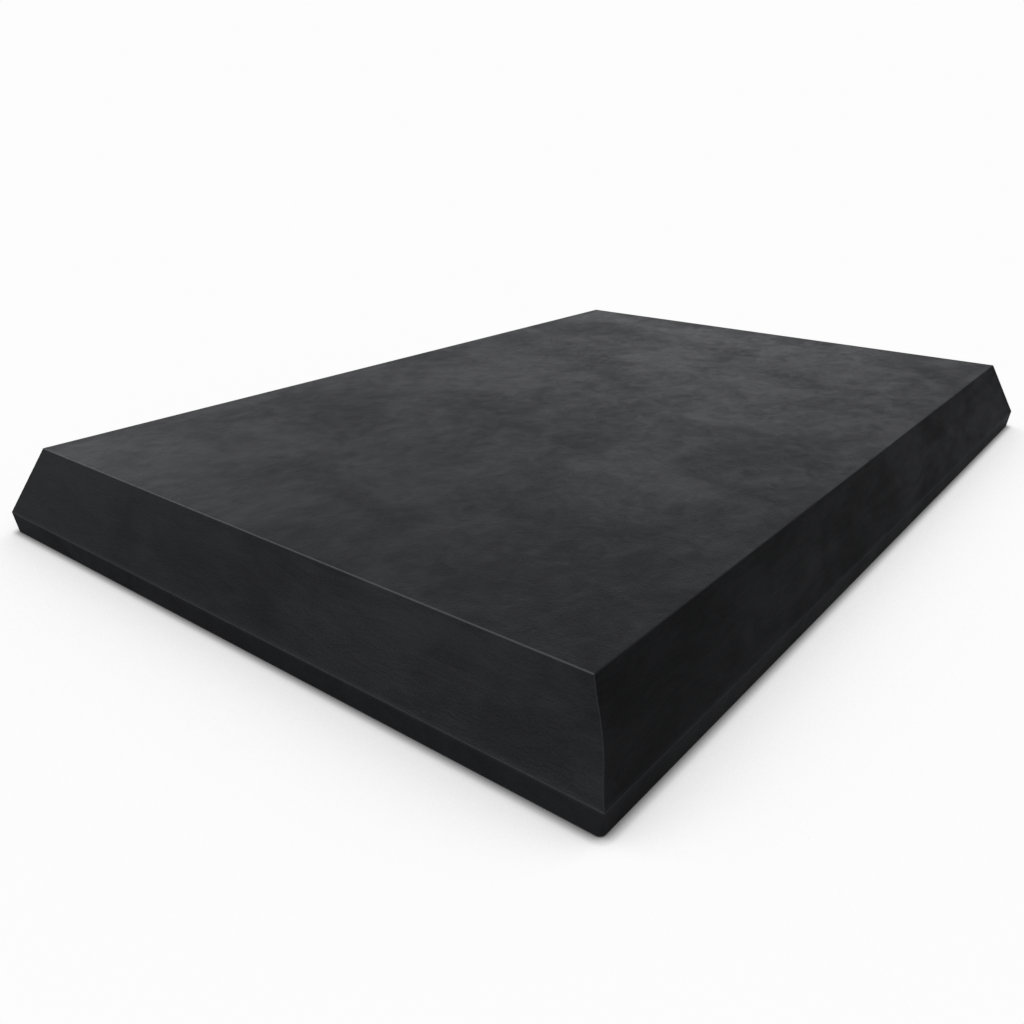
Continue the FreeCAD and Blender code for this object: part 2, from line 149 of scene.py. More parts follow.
def make_leatherette(name, crease_stretch, crease_size, grain_size, contrast):
    material, tree = new_material(name)
    cut = add_node(tree, "ShaderNodeUVMap", uv_map="cut")
    place = add_node(tree, "ShaderNodeTexCoord")
    along = add_node(tree, "ShaderNodeMapping", {
        "Vector": cut.outputs["UV"], "Scale": (1 / crease_stretch, 1, 1)})
    clouds = add_node(tree, "ShaderNodeTexNoise", {
        "Vector": place.outputs["Object"], "Scale": 1 / CLOUD_SIZE, "Detail": 5.0, "Roughness": 0.6,
        "Distortion": 0.5})
    smudges = add_node(tree, "ShaderNodeTexNoise", {
        "Vector": along.outputs["Vector"], "Scale": 1 / SMUDGE_SIZE, "Detail": 6.0, "Roughness": 0.68,
        "Distortion": 1.2})
    creases = add_node(tree, "ShaderNodeTexNoise", {
        "Vector": along.outputs["Vector"], "Scale": 1 / crease_size, "Detail": 4.0, "Roughness": 0.62,
        "Distortion": 1.0})
    grain = add_node(tree, "ShaderNodeTexVoronoi", {
        "Vector": cut.outputs["UV"], "Scale": 1 / grain_size}, voronoi_dimensions="2D")
    speck = add_node(tree, "ShaderNodeTexNoise", {
        "Vector": cut.outputs["UV"], "Scale": 1 / SPECK_SIZE, "Detail": 3.0, "Roughness": 0.8})

    # Each field is centred on 0 and added to the tone by its own weight. The clouds and smudges are random
    # tone; the speck's pale points are painted glints of the grain.
    tone = 0.5
    for field, low, high, weight in ((clouds, 0.38, 0.62, 0.5), (smudges, 0.32, 0.68, 0.55),
                                     (speck, 0.3, 0.7, 0.75)):
        centred = add_node(tree, "ShaderNodeMapRange", {
            "Value": field.outputs[0], "From Min": low, "From Max": high, "To Min": -0.5, "To Max": 0.5})
        summed = add_node(tree, "ShaderNodeMath", {
            0: centred.outputs[0], 1: weight * contrast, 2: tone}, operation="MULTIPLY_ADD",
            use_clamp=field is speck)
        if field is smudges:
            patchy = summed
        tone = summed.outputs[0]
    colour = add_node(tree, "ShaderNodeMix", {
        "Factor": tone, 6: paint(DARK_SKIN), 7: paint(PALE_SKIN)}, data_type="RGBA")
    # Seam edges painted pale: partly wear, partly a painted highlight, strongest on the edge between the top
    # and the left slope.
    wear_and_highlight_node = add_node(tree, "ShaderNodeAttribute", attribute_name="rub")
    worn_and_highlit = add_node(tree, "ShaderNodeMix", {
        "Factor": wear_and_highlight_node.outputs["Fac"], 6: colour.outputs[2], 7: paint(WORN_AND_HIGHLIT_SKIN)}, data_type="RGBA")
    roughness = add_node(tree, "ShaderNodeMapRange", {
        "Value": patchy.outputs[0], "To Min": 0.52, "To Max": 0.38})

    grain_bump = add_node(tree, "ShaderNodeBump", {
        "Height": grain.outputs["Distance"], "Distance": GRAIN_DEPTH, "Strength": 0.7})
    speck_bump = add_node(tree, "ShaderNodeBump", {
        "Height": speck.outputs[0], "Distance": SPECK_DEPTH, "Strength": 0.5,
        "Normal": grain_bump.outputs["Normal"]})
    crease_bump = add_node(tree, "ShaderNodeBump", {
        "Height": creases.outputs[0], "Distance": CREASE_DEPTH, "Strength": 0.8,
        "Normal": speck_bump.outputs["Normal"]})
    shader = add_node(tree, "ShaderNodeBsdfPrincipled", {
        "Base Color": worn_and_highlit.outputs[2], "Roughness": roughness.outputs[0],
        "Normal": crease_bump.outputs["Normal"], "IOR": 1.5, "Specular IOR Level": 0.5})
    finish_material(tree, shader)
    return material


TOP_LEATHERETTE = make_leatherette("leatherette_top", 1.3, 6 * MM, 1.1 * MM, 1.3)
SLOPE_LEATHERETTE = make_leatherette("leatherette_slope", 3.5, 4 * MM, 1.1 * MM, 1.5)
BAND_LEATHERETTE = make_leatherette("leatherette_band", 1.5, 2.5 * MM, 0.9 * MM, 1.3)
print("leatherettes ready")

# %% [markdown]
# ## Woven finishes
# The zip tape is a dark twill of spun polyester, and the underside is a coarser woven polyester. Woven
# thread scatters light, so both are rough, with a slight sheen and a fine chequer of raised threads. The
# chequer is two crossed waves, made in the piece's flat coordinates so that it follows the weave. In the
# colour it is painted shade: paler on the raised threads, darker where they dip.

# %% Woven tape and fabric material
def make_weave(name, thread, dark, light, roughness):
    """Warp and weft as two crossed waves in the piece's own flat coordinates."""
    material, tree = new_material(name)
    cut = add_node(tree, "ShaderNodeUVMap", uv_map="cut")
    wave_scale = 2 * math.pi / (20 * 2 * thread)  # a Wave texture repeats 20 / (2 pi) times per unit
    warp = add_node(tree, "ShaderNodeTexWave", {
        "Vector": cut.outputs["UV"], "Scale": wave_scale, "Distortion": 0.4, "Detail": 1.0},
        bands_direction="X")
    weft = add_node(tree, "ShaderNodeTexWave", {
        "Vector": cut.outputs["UV"], "Scale": wave_scale, "Distortion": 0.4, "Detail": 1.0},
        bands_direction="Y")
    height = add_node(tree, "ShaderNodeMath", {0: warp.outputs["Fac"], 1: weft.outputs["Fac"]},
                      operation="MULTIPLY")
    fuzz = add_node(tree, "ShaderNodeTexNoise", {
        "Vector": cut.outputs["UV"], "Scale": 1 / (3 * MM), "Detail": 4.0})
    # Painted shade: the colour is paler on raised threads and darker where they dip, with a random fuzz of
    # tone.
    share = add_node(tree, "ShaderNodeMath", {
        0: height.outputs[0], 1: 0.7, 2: fuzz.outputs[0]}, operation="MULTIPLY_ADD")
    colour = add_node(tree, "ShaderNodeMix", {
        "Factor": share.outputs[0], 6: paint(dark), 7: paint(light)}, data_type="RGBA")
    bump = add_node(tree, "ShaderNodeBump", {
        "Height": height.outputs[0], "Distance": thread * 0.4, "Strength": 0.8})
    shader = add_node(tree, "ShaderNodeBsdfPrincipled", {
        "Base Color": colour.outputs[2], "Roughness": roughness, "Normal": bump.outputs["Normal"],
        "Sheen Weight": 0.15, "Sheen Roughness": 0.5})
    finish_material(tree, shader)
    return material


ZIP_TAPE = make_weave("zip_tape_twill", 0.5 * MM, "#17181a", "#2a2b2e", 0.85)
GRIP_WEAVE = make_weave("underside_woven_polyester", 0.8 * MM, "#1a1b1c", "#333436", 0.9)

# %% [markdown]
# ## Moulded, enamelled and spun finishes
# The zip's coil is extruded nylon, smooth and slightly glossy. Its slider is die-cast zinc under black
# enamel, the glossiest thing here, and what the eye sees is the enamel, so it isn't metallic. The dots
# on the underside are soft moulded PVC, and the thread is spun polyester, rough and a shade paler than
# the leather. All four need the same few nodes, so one function makes them.

# %% Moulded, enamelled and spun finishes
def make_moulded(name, dark, light, roughness, patch, depth):
    """A finish that only needs slight patches of colour and a fine uneven surface."""
    material, tree = new_material(name)
    place = add_node(tree, "ShaderNodeTexCoord")
    patches = add_node(tree, "ShaderNodeTexNoise", {
        "Vector": place.outputs["Object"], "Scale": 1 / patch, "Detail": 5.0})
    colour = add_node(tree, "ShaderNodeMix", {
        "Factor": patches.outputs[0], 6: paint(dark), 7: paint(light)}, data_type="RGBA")
    rough = add_node(tree, "ShaderNodeMapRange", {
        "Value": patches.outputs[0], "To Min": roughness - 0.06, "To Max": roughness + 0.06})
    bump = add_node(tree, "ShaderNodeBump", {
        "Height": patches.outputs[0], "Distance": depth, "Strength": 0.5})
    shader = add_node(tree, "ShaderNodeBsdfPrincipled", {
        "Base Color": colour.outputs[2], "Roughness": rough.outputs[0],
        "Normal": bump.outputs["Normal"]})
    finish_material(tree, shader)
    return material


NYLON_COIL = make_moulded("nylon_coil", "#131415", "#1f2022", 0.38, 1.5 * MM, 0.03 * MM)
BLACK_ENAMEL = make_moulded("black_enamel_on_zinc", "#101112", "#1c1d1f", 0.3, 2.5 * MM, 0.03 * MM)
PVC_DOT = make_moulded("soft_pvc_dots", "#161718", "#242527", 0.45, 2 * MM, 0.05 * MM)
THREAD = make_moulded("polyester_thread", "#26272a", "#3a3c40", 0.7, 0.6 * MM, 0.08 * MM)

# %% [markdown]
# ## Foam materials
# The foams show only with the cover off. Both are cut polyurethane foam, dark grey and quite without
# gloss. The firm one is close-celled with small cells, the soft one open-celled with deeper, larger ones.
# Two Voronoi patterns, a coarse and a fine one, stand for cells of mixed size.

# %% Foam materials
def make_foam(name, dark, light, cell, depth):
    """Cut foam: rounded cells of two sizes, open, with painted shade darker inside them."""
    material, tree = new_material(name)
    place = add_node(tree, "ShaderNodeTexCoord")
    cells = add_node(tree, "ShaderNodeTexVoronoi", {
        "Vector": place.outputs["Object"], "Scale": 1 / cell})
    fine = add_node(tree, "ShaderNodeTexVoronoi", {
        "Vector": place.outputs["Object"], "Scale": 2.6 / cell})
    height = add_node(tree, "ShaderNodeMath", {
        0: fine.outputs["Distance"], 1: 0.5, 2: cells.outputs["Distance"]}, operation="MULTIPLY_ADD")
    # Painted shade: the colour darkens into each cell's hollow.
    colour = add_node(tree, "ShaderNodeMix", {
        "Factor": height.outputs[0], 6: paint(dark), 7: paint(light)}, data_type="RGBA")
    bump = add_node(tree, "ShaderNodeBump", {
        "Height": height.outputs[0], "Distance": depth, "Strength": 0.9})
    shader = add_node(tree, "ShaderNodeBsdfPrincipled", {
        "Base Color": colour.outputs[2], "Roughness": 0.95, "Normal": bump.outputs["Normal"]})
    finish_material(tree, shader)
    return material


FIRM_FOAM = make_foam("firm_closed_cell_foam", "#3c3e42", "#5c5f64", 1.2 * MM, 0.2 * MM)
SOFT_FOAM = make_foam("soft_open_cell_foam", "#3a3c3f", "#54565a", 2.0 * MM, 0.5 * MM)
print("materials:", len(bpy.data.materials))

# %% [markdown]
# ## A cut panel with sewn edges
# A cover panel is flat leather whose edges are turned in at the seams. A box with a Bevel modifier would
# give every edge the same round and no seam. So a panel is a grid of points in its own flat
# coordinates, X along it and Y up it, and near an edge the points follow a profile: a soft round where
# the pad's edge bends, then a tight roll into the seam. Two panels made this way meet in a real sewn
# line. The profile is walked like a path: straight runs and arcs, each with a length or a turn.

# %% Walk an edge's profile
ARC_STEPS = 4
SEAM_GAP = 0.015 * MM
SUPPORT = 0.25 * MM
LEATHER = 0.9 * COVER_THICKNESS


def walk_edge(moves, plane_angle, gap, anchor=-1):
    """Points (distance in from the edge, depth under the face), from inside the seam to the face.
    A move is (radius, turn) for an arc or (length, None) for a run. The plane through the edge at
    plane_angle is where the neighbour begins, and the anchor point ends up at the gap from it."""
    x, depth, heading = 0.0, 0.0, 0.0
    points = [(x, depth)]
    for size, turn in moves:
        if turn is None:
            x -= size * math.cos(heading)
            depth += size * math.sin(heading)
            points.append((x, depth))
            continue
        start_x, start_depth = x, depth
        for step in range(1, ARC_STEPS + 1):
            angle = heading + turn * step / ARC_STEPS
            x = start_x - size * (math.sin(angle) - math.sin(heading))
            depth = start_depth + size * (math.cos(heading) - math.cos(angle))
            points.append((x, depth))
        heading += turn
    anchor_x, anchor_depth = points[anchor]
    off_plane = anchor_x * math.sin(plane_angle) - anchor_depth * math.cos(plane_angle)
    shift = (gap - off_plane) / math.sin(plane_angle)
    return [(x + shift, depth) for x, depth in reversed(points)]


def with_support(profile):
    """A row of points on the face just past a round, which keeps the round's shading off the face."""
    return profile + [(profile[-1][0] + SUPPORT, 0.0)]


def sewn_edge(round_radius, half_angle, roll=0.06 * MM):
    """A rounded edge that rolls into a seam on the plane half way to the neighbour."""
    moves = [(round_radius, math.pi / 2 - half_angle), (roll, math.pi / 2)]
    reached = walk_edge(moves, half_angle, SEAM_GAP)[0][1]
    down = (LEATHER - reached) / math.sin(half_angle)
    return with_support(walk_edge(moves + [(down, None)], half_angle, SEAM_GAP))


def rounded_edge(thickness):
    """A free edge: half a round, as on a folded hem or a tape's selvedge."""
    return walk_edge([(thickness / 2, math.pi)], math.pi / 2, 0, anchor=ARC_STEPS // 2)


def half_angle_between(normal, neighbour_normal):
    return (math.pi - normal.angle(neighbour_normal)) / 2


print("a sewn edge has", len(sewn_edge(1 * MM, 1.0)), "points")
# %% [markdown]
# ## The shapes the leather is cut to
# On the bench the cover is a set of flat pieces: trapezoids whose ends are mitred for the slopes and the
# bands, and a rectangle for the top. They could be drawn one by one, but all of them follow from the
# outline, so one function cuts any side panel between two heights.

# %% Panels on the pad's four sides and its top
SIDES = {
    "front": (Vector((0, -1, 0)), Vector((1, 0, 0)), HALF_WIDTH, HALF_LENGTH),
    "right": (Vector((1, 0, 0)), Vector((0, 1, 0)), HALF_LENGTH, HALF_WIDTH),
    "rear": (Vector((0, 1, 0)), Vector((-1, 0, 0)), HALF_WIDTH, HALF_LENGTH),
    "left": (Vector((-1, 0, 0)), Vector((0, -1, 0)), HALF_LENGTH, HALF_WIDTH),
}
UP = Vector((0, 0, 1))


def side_panel(name, side, low_z, high_z):
    """The flat shape of a panel between two heights on one side, mitred at both ends."""
    outwards, along, reach, half = SIDES[side]
    low, high = inset_at(low_z), inset_at(high_z)
    rise = outwards * (low - high) + UP * (high_z - low_z)
    normal = along.cross(rise.normalized())
    return {
        "name": name, "origin": outwards * (reach - low) + UP * low_z, "along": along,
        "up": rise.normalized(), "normal": normal, "height": rise.length, "mitre": normal.dot(outwards),
        "left": (low - half, high - half), "right": (half - low, half - high),
    }


def level_panel(name, z, normal, half_length, half_width):
    """A level rectangular panel that faces up or down."""
    along = Vector((1, 0, 0))
    up = normal.cross(along)
    return {
        "name": name, "origin": UP * z - up * half_width, "along": along, "up": up,
        "normal": normal, "height": 2 * half_width, "mitre": 0,
        "left": (-half_length, -half_length), "right": (half_length, half_length),
    }


def panel_point(panel, x, y):
    return panel["origin"] + panel["along"] * x + panel["up"] * y


def panel_ends(panel, y):
    """The panel's left and right edge at a height."""
    share = y / panel["height"]
    left = panel["left"][0] + (panel["left"][1] - panel["left"][0]) * share
    right = panel["right"][0] + (panel["right"][1] - panel["right"][0]) * share
    return left, right


TOP_INSET = inset_at(TOP_Z)
TOP_PANEL = level_panel("cover_top", TOP_Z, UP, HALF_LENGTH - TOP_INSET, HALF_WIDTH - TOP_INSET)
SLOPES = [side_panel(f"{side}_slope", side, CREASE_Z, TOP_Z) for side in ("front", "left", "right")]
REAR_LOWER = side_panel("rear_slope_lower", "rear", CREASE_Z, WINDOW_LOW_Z)
REAR_UPPER = side_panel("rear_slope_upper", "rear", WINDOW_HIGH_Z, TOP_Z)
# The edge between the top and the left slope gets the full pale edge colour: a painted highlight on top of
# wear.
TOP_PANEL["rubbed"] = {"left": 1.0}
SLOPES[1]["rubbed"] = {"top": 1.0}
print("top panel", round(2 * TOP_PANEL["right"][0] / MM), "by", round(TOP_PANEL["height"] / MM), "mm")

# %% [markdown]
# ## How the leather sits
# Foam presses each panel out between its seams. That is a job for the cloth simulation: the panels are
# laid out as coarse grids, their seam points are pinned, and air pressure stands for the foam. The
# simulation says how far each point moves out, and that is capped, because foam gives far less than
# air. The result is then read off for every point of the fine panels.

# %% Lay the panels out as one coarse mesh
SIM_SPACING = 9 * MM


def coarse_sheet(panels):
    points, faces, pinned, layout = [], [], [], {}
    for panel in panels:
        rows = max(4, round(panel["height"] / SIM_SPACING))
        columns = max(4, round((panel["right"][0] - panel["left"][0]) / SIM_SPACING))
        first = len(points)
        layout[panel["name"]] = (first, rows, columns, np.array(panel["normal"]))
        for row in range(rows + 1):
            y = panel["height"] * row / rows
            left, right = panel_ends(panel, y)
            for column in range(columns + 1):
                corner = len(points)
                points.append(panel_point(panel, left + (right - left) * column / columns, y))
                if row in (0, rows) or column in (0, columns):
                    pinned.append(corner)
                if row < rows and column < columns:
                    faces.append((corner, corner + 1, corner + columns + 2, corner + columns + 1))
    return points, faces, pinned, layout


# %% Press the leather out
SIM_FRAMES = 20


def press_out(panels):
    """Under each panel's name, how far its coarse grid is pressed out."""
    points, faces, pinned, layout = coarse_sheet(panels)
    mesh = bpy.data.meshes.new("pressed_cover")
    mesh.from_pydata(points, [], faces)
    sheet = bpy.data.objects.new("pressed_cover", mesh)
    bpy.context.scene.collection.objects.link(sheet)
    seams = sheet.vertex_groups.new(name="seams")
    seams.add(pinned, 1.0, "REPLACE")
    cloth = sheet.modifiers.new("cloth", "CLOTH")
    cloth.settings.quality = 6
    cloth.settings.mass = 0.4
    cloth.settings.tension_stiffness = 40
    cloth.settings.compression_stiffness = 40
    cloth.settings.bending_stiffness = 2
    cloth.settings.vertex_group_mass = "seams"
    cloth.settings.use_pressure = True
    cloth.settings.uniform_pressure_force = 4
    cloth.settings.effector_weights.gravity = 0
    cloth.collision_settings.use_collision = False
    for step in range(1, SIM_FRAMES + 1):
        bpy.context.scene.frame_set(step)
    moved = sheet.evaluated_get(bpy.context.evaluated_depsgraph_get()).data
    after = np.empty(len(points) * 3)
    moved.vertices.foreach_get("co", after)
    shift = after.reshape(-1, 3) - np.array(points)
    bpy.context.scene.frame_set(1)
    bpy.data.objects.remove(sheet)
    pressed = {}
    for name, (first, rows, columns, normal) in layout.items():
        field = shift[first:first + (rows + 1) * (columns + 1)] @ normal
        pressed[name] = field.reshape(rows + 1, columns + 1)
    return pressed


PRESSED = press_out([TOP_PANEL, *SLOPES, REAR_LOWER, REAR_UPPER])
for name, field in PRESSED.items():
    print(name, "pressed out", round(float(field.max()) / MM, 2), "mm at most before the cap")

# %% [markdown]
# Besides the press of the foam, leatherette has soft dents and short folds. They are deep enough to
# bend a highlight, so they belong in the mesh and not only in the material's bump: one broad field of
# smooth noise and one finer one, both fading out at the seams, where the leather is held.

# %% Relief of a panel
PRESS_CAP = 0.5 * MM
PRESS_FADE = 45 * MM
FADE = 5 * MM
DENT_SIZE, FOLD_SIZE = 60 * MM, 9 * MM
FURROW, FURROW_WIDTH = 0.2 * MM, 0.9 * MM


def read_field(field, across, up):
    """Bilinear reading of a simulated field at shares 0 to 1."""
    rows, columns = field.shape[0] - 1, field.shape[1] - 1
    x, y = min(max(across, 0), 1) * columns, min(max(up, 0), 1) * rows
    column, row = min(int(x), columns - 1), min(int(y), rows - 1)
    fx, fy = x - column, y - row
    low = field[row, column] * (1 - fx) + field[row, column + 1] * fx
    high = field[row + 1, column] * (1 - fx) + field[row + 1, column + 1] * fx
    return low * (1 - fy) + high * fy


def ease_in(share):
    """0 to 1, starting and ending gently."""
    share = min(max(share, 0), 1)
    return share * share * (3 - 2 * share)


def relief(panel, x, y, edge_distance, dent, fold, stretch):
    """How far the leather stands off its flat shape: pressed out, dented and folded."""
    fade = ease_in(edge_distance / FADE)
    pressed = 0.0
    if panel["name"] in PRESSED:
        left, right = panel_ends(panel, y)
        pressed = read_field(PRESSED[panel["name"]], (x - left) / (right - left), y / panel["height"])
        pressed = PRESS_CAP * math.tanh(pressed / PRESS_CAP) * ease_in(edge_distance / PRESS_FADE)
    spot = panel_point(panel, x, y)
    broad = noise.noise(spot / DENT_SIZE) * dent
    laid = Vector((x / (FOLD_SIZE * stretch), y / FOLD_SIZE, spot.length * 3))
    fine = noise.fractal(laid, 0.9, 2.1, 2) * fold
    furrow = 0.0
    if "stitched_at" in panel:
        furrow = FURROW * math.exp(-((y - panel["stitched_at"]) / FURROW_WIDTH) ** 2)
    return pressed + (broad + fine) * fade - furrow


# %% [markdown]
# ## From panel to mesh
# The grid is close-set at the edges and even in between. The back is one flat face from seam to seam,
# so each panel is a closed piece of leather. Two things are stored for the material: the flat
# coordinates as a UV map, and how much of the pale edge colour a point takes, which is most on the
# pad's outer edges: partly wear, partly a painted highlight along the seams.

# %% Rows of points, edge to edge
def even_steps(first, last, spacing):
    count = max(1, round((last - first) / spacing))
    return [first + (last - first) * (step / count) for step in range(1, count)]


def panel_rows(panel, edges, spacing):
    """(height up the panel, depth) for each row of the grid, with both edge profiles."""
    height, bottom, top = panel["height"], edges["bottom"], edges["top"]
    rows = list(bottom)
    rows += [(y, 0.0) for y in even_steps(bottom[-1][0], height - top[-1][0], spacing)]
    rows += [(height - y, depth) for y, depth in reversed(top)]
    return rows


def row_stations(panel, edges, y, row_depth, middle):
    """(position along, depth) of each point in one row, with both end profiles."""
    height = panel["height"]
    share = min(max(y / height, 0), 1)
    left_edge, right_edge = panel_ends(panel, y)
    left_edge += row_depth * panel["mitre"]
    right_edge -= row_depth * panel["mitre"]
    left_slant = math.hypot(1, (panel["left"][1] - panel["left"][0]) / height)
    right_slant = math.hypot(1, (panel["right"][1] - panel["right"][0]) / height)
    stations = [(left_edge + x * left_slant, depth) for x, depth in edges["left"](share)]
    ending = [(right_edge - x * right_slant, depth) for x, depth in reversed(edges["right"](share))]
    start, end = stations[-1][0], ending[0][0]
    stations += [(start + (end - start) * step / middle, 0.0) for step in range(1, middle)]
    return stations + ending, start, end


# %% Build a panel's mesh
# Reach and seam-edge share of the pale edge colour, which is wear plus a painted highlight.
WEAR_AND_HIGHLIGHT_REACH = 0.5 * MM
SEAM_WEAR_AND_HIGHLIGHT = 0.3
BULGE_REACH = 9 * MM


def rubbed(panel, x, y):
    """How much of the pale edge colour a point takes, which is wear and a painted highlight along the seams:
    the edge's own share on the outline, fading to 0 within the reach.
    """
    left, right = panel_ends(panel, min(max(y, 0), panel["height"]))
    distances = {"left": x - left, "right": right - x, "bottom": y, "top": panel["height"] - y}
    return max(panel.get("rubbed", {}).get(edge, SEAM_WEAR_AND_HIGHLIGHT) * (1 - min(max(away / WEAR_AND_HIGHLIGHT_REACH, 0), 1))
               for edge, away in distances.items())


def panel_mesh(panel, edges, spacing, dent=0.0, fold=0.0, stretch=1.0, bow=None, lay=0.0):
    """edges has a profile for bottom and top and, for left and right, a function of the share of
    the height that gives one. bow maps an end to the vector by which its seam bulges."""
    rows = panel_rows(panel, edges, spacing)
    middle = max(1, round((panel["right"][0] - panel["left"][0]) / spacing))
    low, high = edges["bottom"][-1][0], panel["height"] - edges["top"][-1][0]
    points, cuts, wear_and_highlight_shares = [], [], []
    for y, row_depth in rows:
        stations, start, end = row_stations(panel, edges, y, row_depth, middle)
        share = min(max(y / panel["height"], 0), 1)
        for x, depth in stations:
            lift = 0.0
            if depth == 0 and row_depth == 0:
                inside = min(x - start, end - x, y - low, high - y)
                lift = relief(panel, x, y, inside, dent, fold, stretch)
            spot = panel_point(panel, x, y) + panel["normal"] * (lift - depth - row_depth)
            for end_name, push in (bow or {}).items():
                away = x - stations[0][0] if end_name == "left" else stations[-1][0] - x
                spot += push * math.exp(-max(away, 0) / BULGE_REACH) * math.sin(math.pi * share) ** 2
            points.append(spot)
            cuts.append((x + lay, y + lay))
            wear_and_highlight_shares.append(rubbed(panel, x, y))
    columns = len(stations)
    return grid_piece(panel["name"], points, len(rows), columns, cuts, wear_and_highlight_shares)


def grid_piece(name, points, rows, columns, cuts, wear_and_highlight_shares):
    """A mesh from rows of points, closed by one face across its back."""
    faces = []
    for row in range(rows - 1):
        for column in range(columns - 1):
            corner = row * columns + column
            faces.append((corner, corner + 1, corner + columns + 1, corner + columns))
    rim = [column for column in range(columns)]
    rim += [row * columns + columns - 1 for row in range(1, rows)]
    rim += [(rows - 1) * columns + column for column in range(columns - 2, -1, -1)]
    rim += [row * columns for row in range(rows - 2, 0, -1)]
    faces.append(tuple(reversed(rim)))
    mesh = bpy.data.meshes.new(name)
    mesh.from_pydata(points, [], faces)
    mesh.shade_smooth()
    mesh.polygons[len(faces) - 1].use_smooth = False
    cut = mesh.uv_layers.new(name="cut")
    vertex_of_loop = np.empty(len(mesh.loops), dtype=np.int32)
    mesh.loops.foreach_get("vertex_index", vertex_of_loop)
    cut.data.foreach_set("uv", np.array(cuts, dtype=np.float32)[vertex_of_loop].ravel())
    # Each point's share of the pale edge colour: wear, and a painted highlight along the seams.
    rub = mesh.attributes.new("rub", "FLOAT", "POINT")
    rub.data.foreach_set("value", np.array(wear_and_highlight_shares, dtype=np.float32))
    return mesh


# %% Hang a finished mesh on the pad
def add_piece(mesh, material, body="pad", replaces=()):
    piece = bpy.data.objects.new(mesh.name, mesh)
    bpy.context.scene.collection.objects.link(piece)
    mesh.materials.clear()
    mesh.materials.append(material)
    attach(piece, body)
    if replaces:
        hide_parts(*replaces)
    return piece


def add_leather(mesh, material, node):
    """A cover panel, hung on the pad in place of its CAD node."""
    piece = add_piece(mesh, material, replaces=[node])
    return piece


# %% [markdown]
# ## Sewing the cover
# The angle at which two panels meet decides how their edges roll. The pad's top edges are the ones
# that hands rub, so they have the softest round. The seam at the near corner was fed a little off its
# line, as hand-guided seams are, and bulges by about a millimetre.

# %% Seam angles and edge profiles
SLOPE_NORMALS = {side: side_panel("", side, CREASE_Z, TOP_Z)["normal"] for side in SIDES}
BAND_NORMALS = {side: side_panel("", side, 0, CREASE_Z)["normal"] for side in SIDES}
TOP_SEAM = half_angle_between(UP, SLOPE_NORMALS["front"])
CORNER_SEAM = half_angle_between(SLOPE_NORMALS["front"], SLOPE_NORMALS["left"])
CREASE_SEAM = half_angle_between(SLOPE_NORMALS["front"], BAND_NORMALS["front"])
BAND_CORNER = half_angle_between(BAND_NORMALS["front"], BAND_NORMALS["left"])
BASE_ANGLE = math.pi - BAND_NORMALS["front"].angle(-UP)


def at_every_height(profile):
    return lambda share: profile


def all_round(profile):
    """The same profile on all four edges."""
    along_ends = at_every_height(profile)
    return {"bottom": profile, "top": profile, "left": along_ends, "right": along_ends}


TOP_EDGE = sewn_edge(0.45 * MM, TOP_SEAM)
CREASE_EDGE = sewn_edge(0.35 * MM, CREASE_SEAM)
CORNER_EDGE = at_every_height(sewn_edge(0.4 * MM, CORNER_SEAM))
FOLD = rounded_edge(LEATHER)
print("seam angles", [round(math.degrees(2 * a)) for a in (TOP_SEAM, CORNER_SEAM, CREASE_SEAM)])

# %% [markdown]
# ## The top
# The top is one rectangle of leather on the soft foam. It is nearly flat, so a plane would do from far
# off, but a matte skin shows every slow dent at a glancing angle. So it has a 2 mm grid that carries the
# press and the dents as real shape.

# %% Top panel
top_mesh = panel_mesh(TOP_PANEL, all_round(TOP_EDGE), 2.0 * MM, dent=0.25 * MM, fold=0.07 * MM)
add_leather(top_mesh, TOP_LEATHERETTE, "cover_top_panel")
print("top panel faces:", len(top_mesh.polygons))

# %% [markdown]
# ## The slopes
# Three slopes are single mitred panels. The fourth, at the rear, is two strips with the zip's window
# between them, and a short tab closes the window at each end. The strips' inner edges are folded, not
# sewn in, so they get the half-round profile, and the leather sinks a little where it is topstitched.

# %% Sloping panels on the front, left and right
NEAR_SEAM_BULGE = Vector((0.62, -0.78, 0)) * 1.3 * MM
BULGES = {"front_slope": {"left": NEAR_SEAM_BULGE}, "left_slope": {"right": NEAR_SEAM_BULGE}}
SLOPE_EDGES = {"bottom": CREASE_EDGE, "top": TOP_EDGE, "left": CORNER_EDGE, "right": CORNER_EDGE}
for order, panel in enumerate(SLOPES):
    mesh = panel_mesh(panel, SLOPE_EDGES, 1.8 * MM, dent=0.2 * MM, fold=0.09 * MM, stretch=3.0,
                      bow=BULGES.get(panel["name"]), lay=0.7 + order)
    side = panel["name"].split("_")[0]
    add_leather(mesh, SLOPE_LEATHERETTE, f"{side}_bevel_panel")
    print(panel["name"], "faces:", len(mesh.polygons))

# %% Rear slope: two strips with folded edges, and a tab at each end of the zip's window
TOPSTITCH_IN = 2.4 * MM
REAR_LOWER["stitched_at"] = REAR_LOWER["height"] - TOPSTITCH_IN
REAR_UPPER["stitched_at"] = TOPSTITCH_IN
STRIP_DENT, STRIP_FOLD, STRIP_STRETCH = 0.12 * MM, 0.08 * MM, 3.0
for panel, edge, node in (
    (REAR_LOWER, "top", "rear_bevel_lower_strip"),
    (REAR_UPPER, "bottom", "rear_bevel_upper_strip"),
):
    edges = dict(SLOPE_EDGES)
    edges[edge] = FOLD
    mesh = panel_mesh(panel, edges, 1.0 * MM, dent=STRIP_DENT, fold=STRIP_FOLD,
                      stretch=STRIP_STRETCH, lay=3.9)
    add_leather(mesh, SLOPE_LEATHERETTE, node)

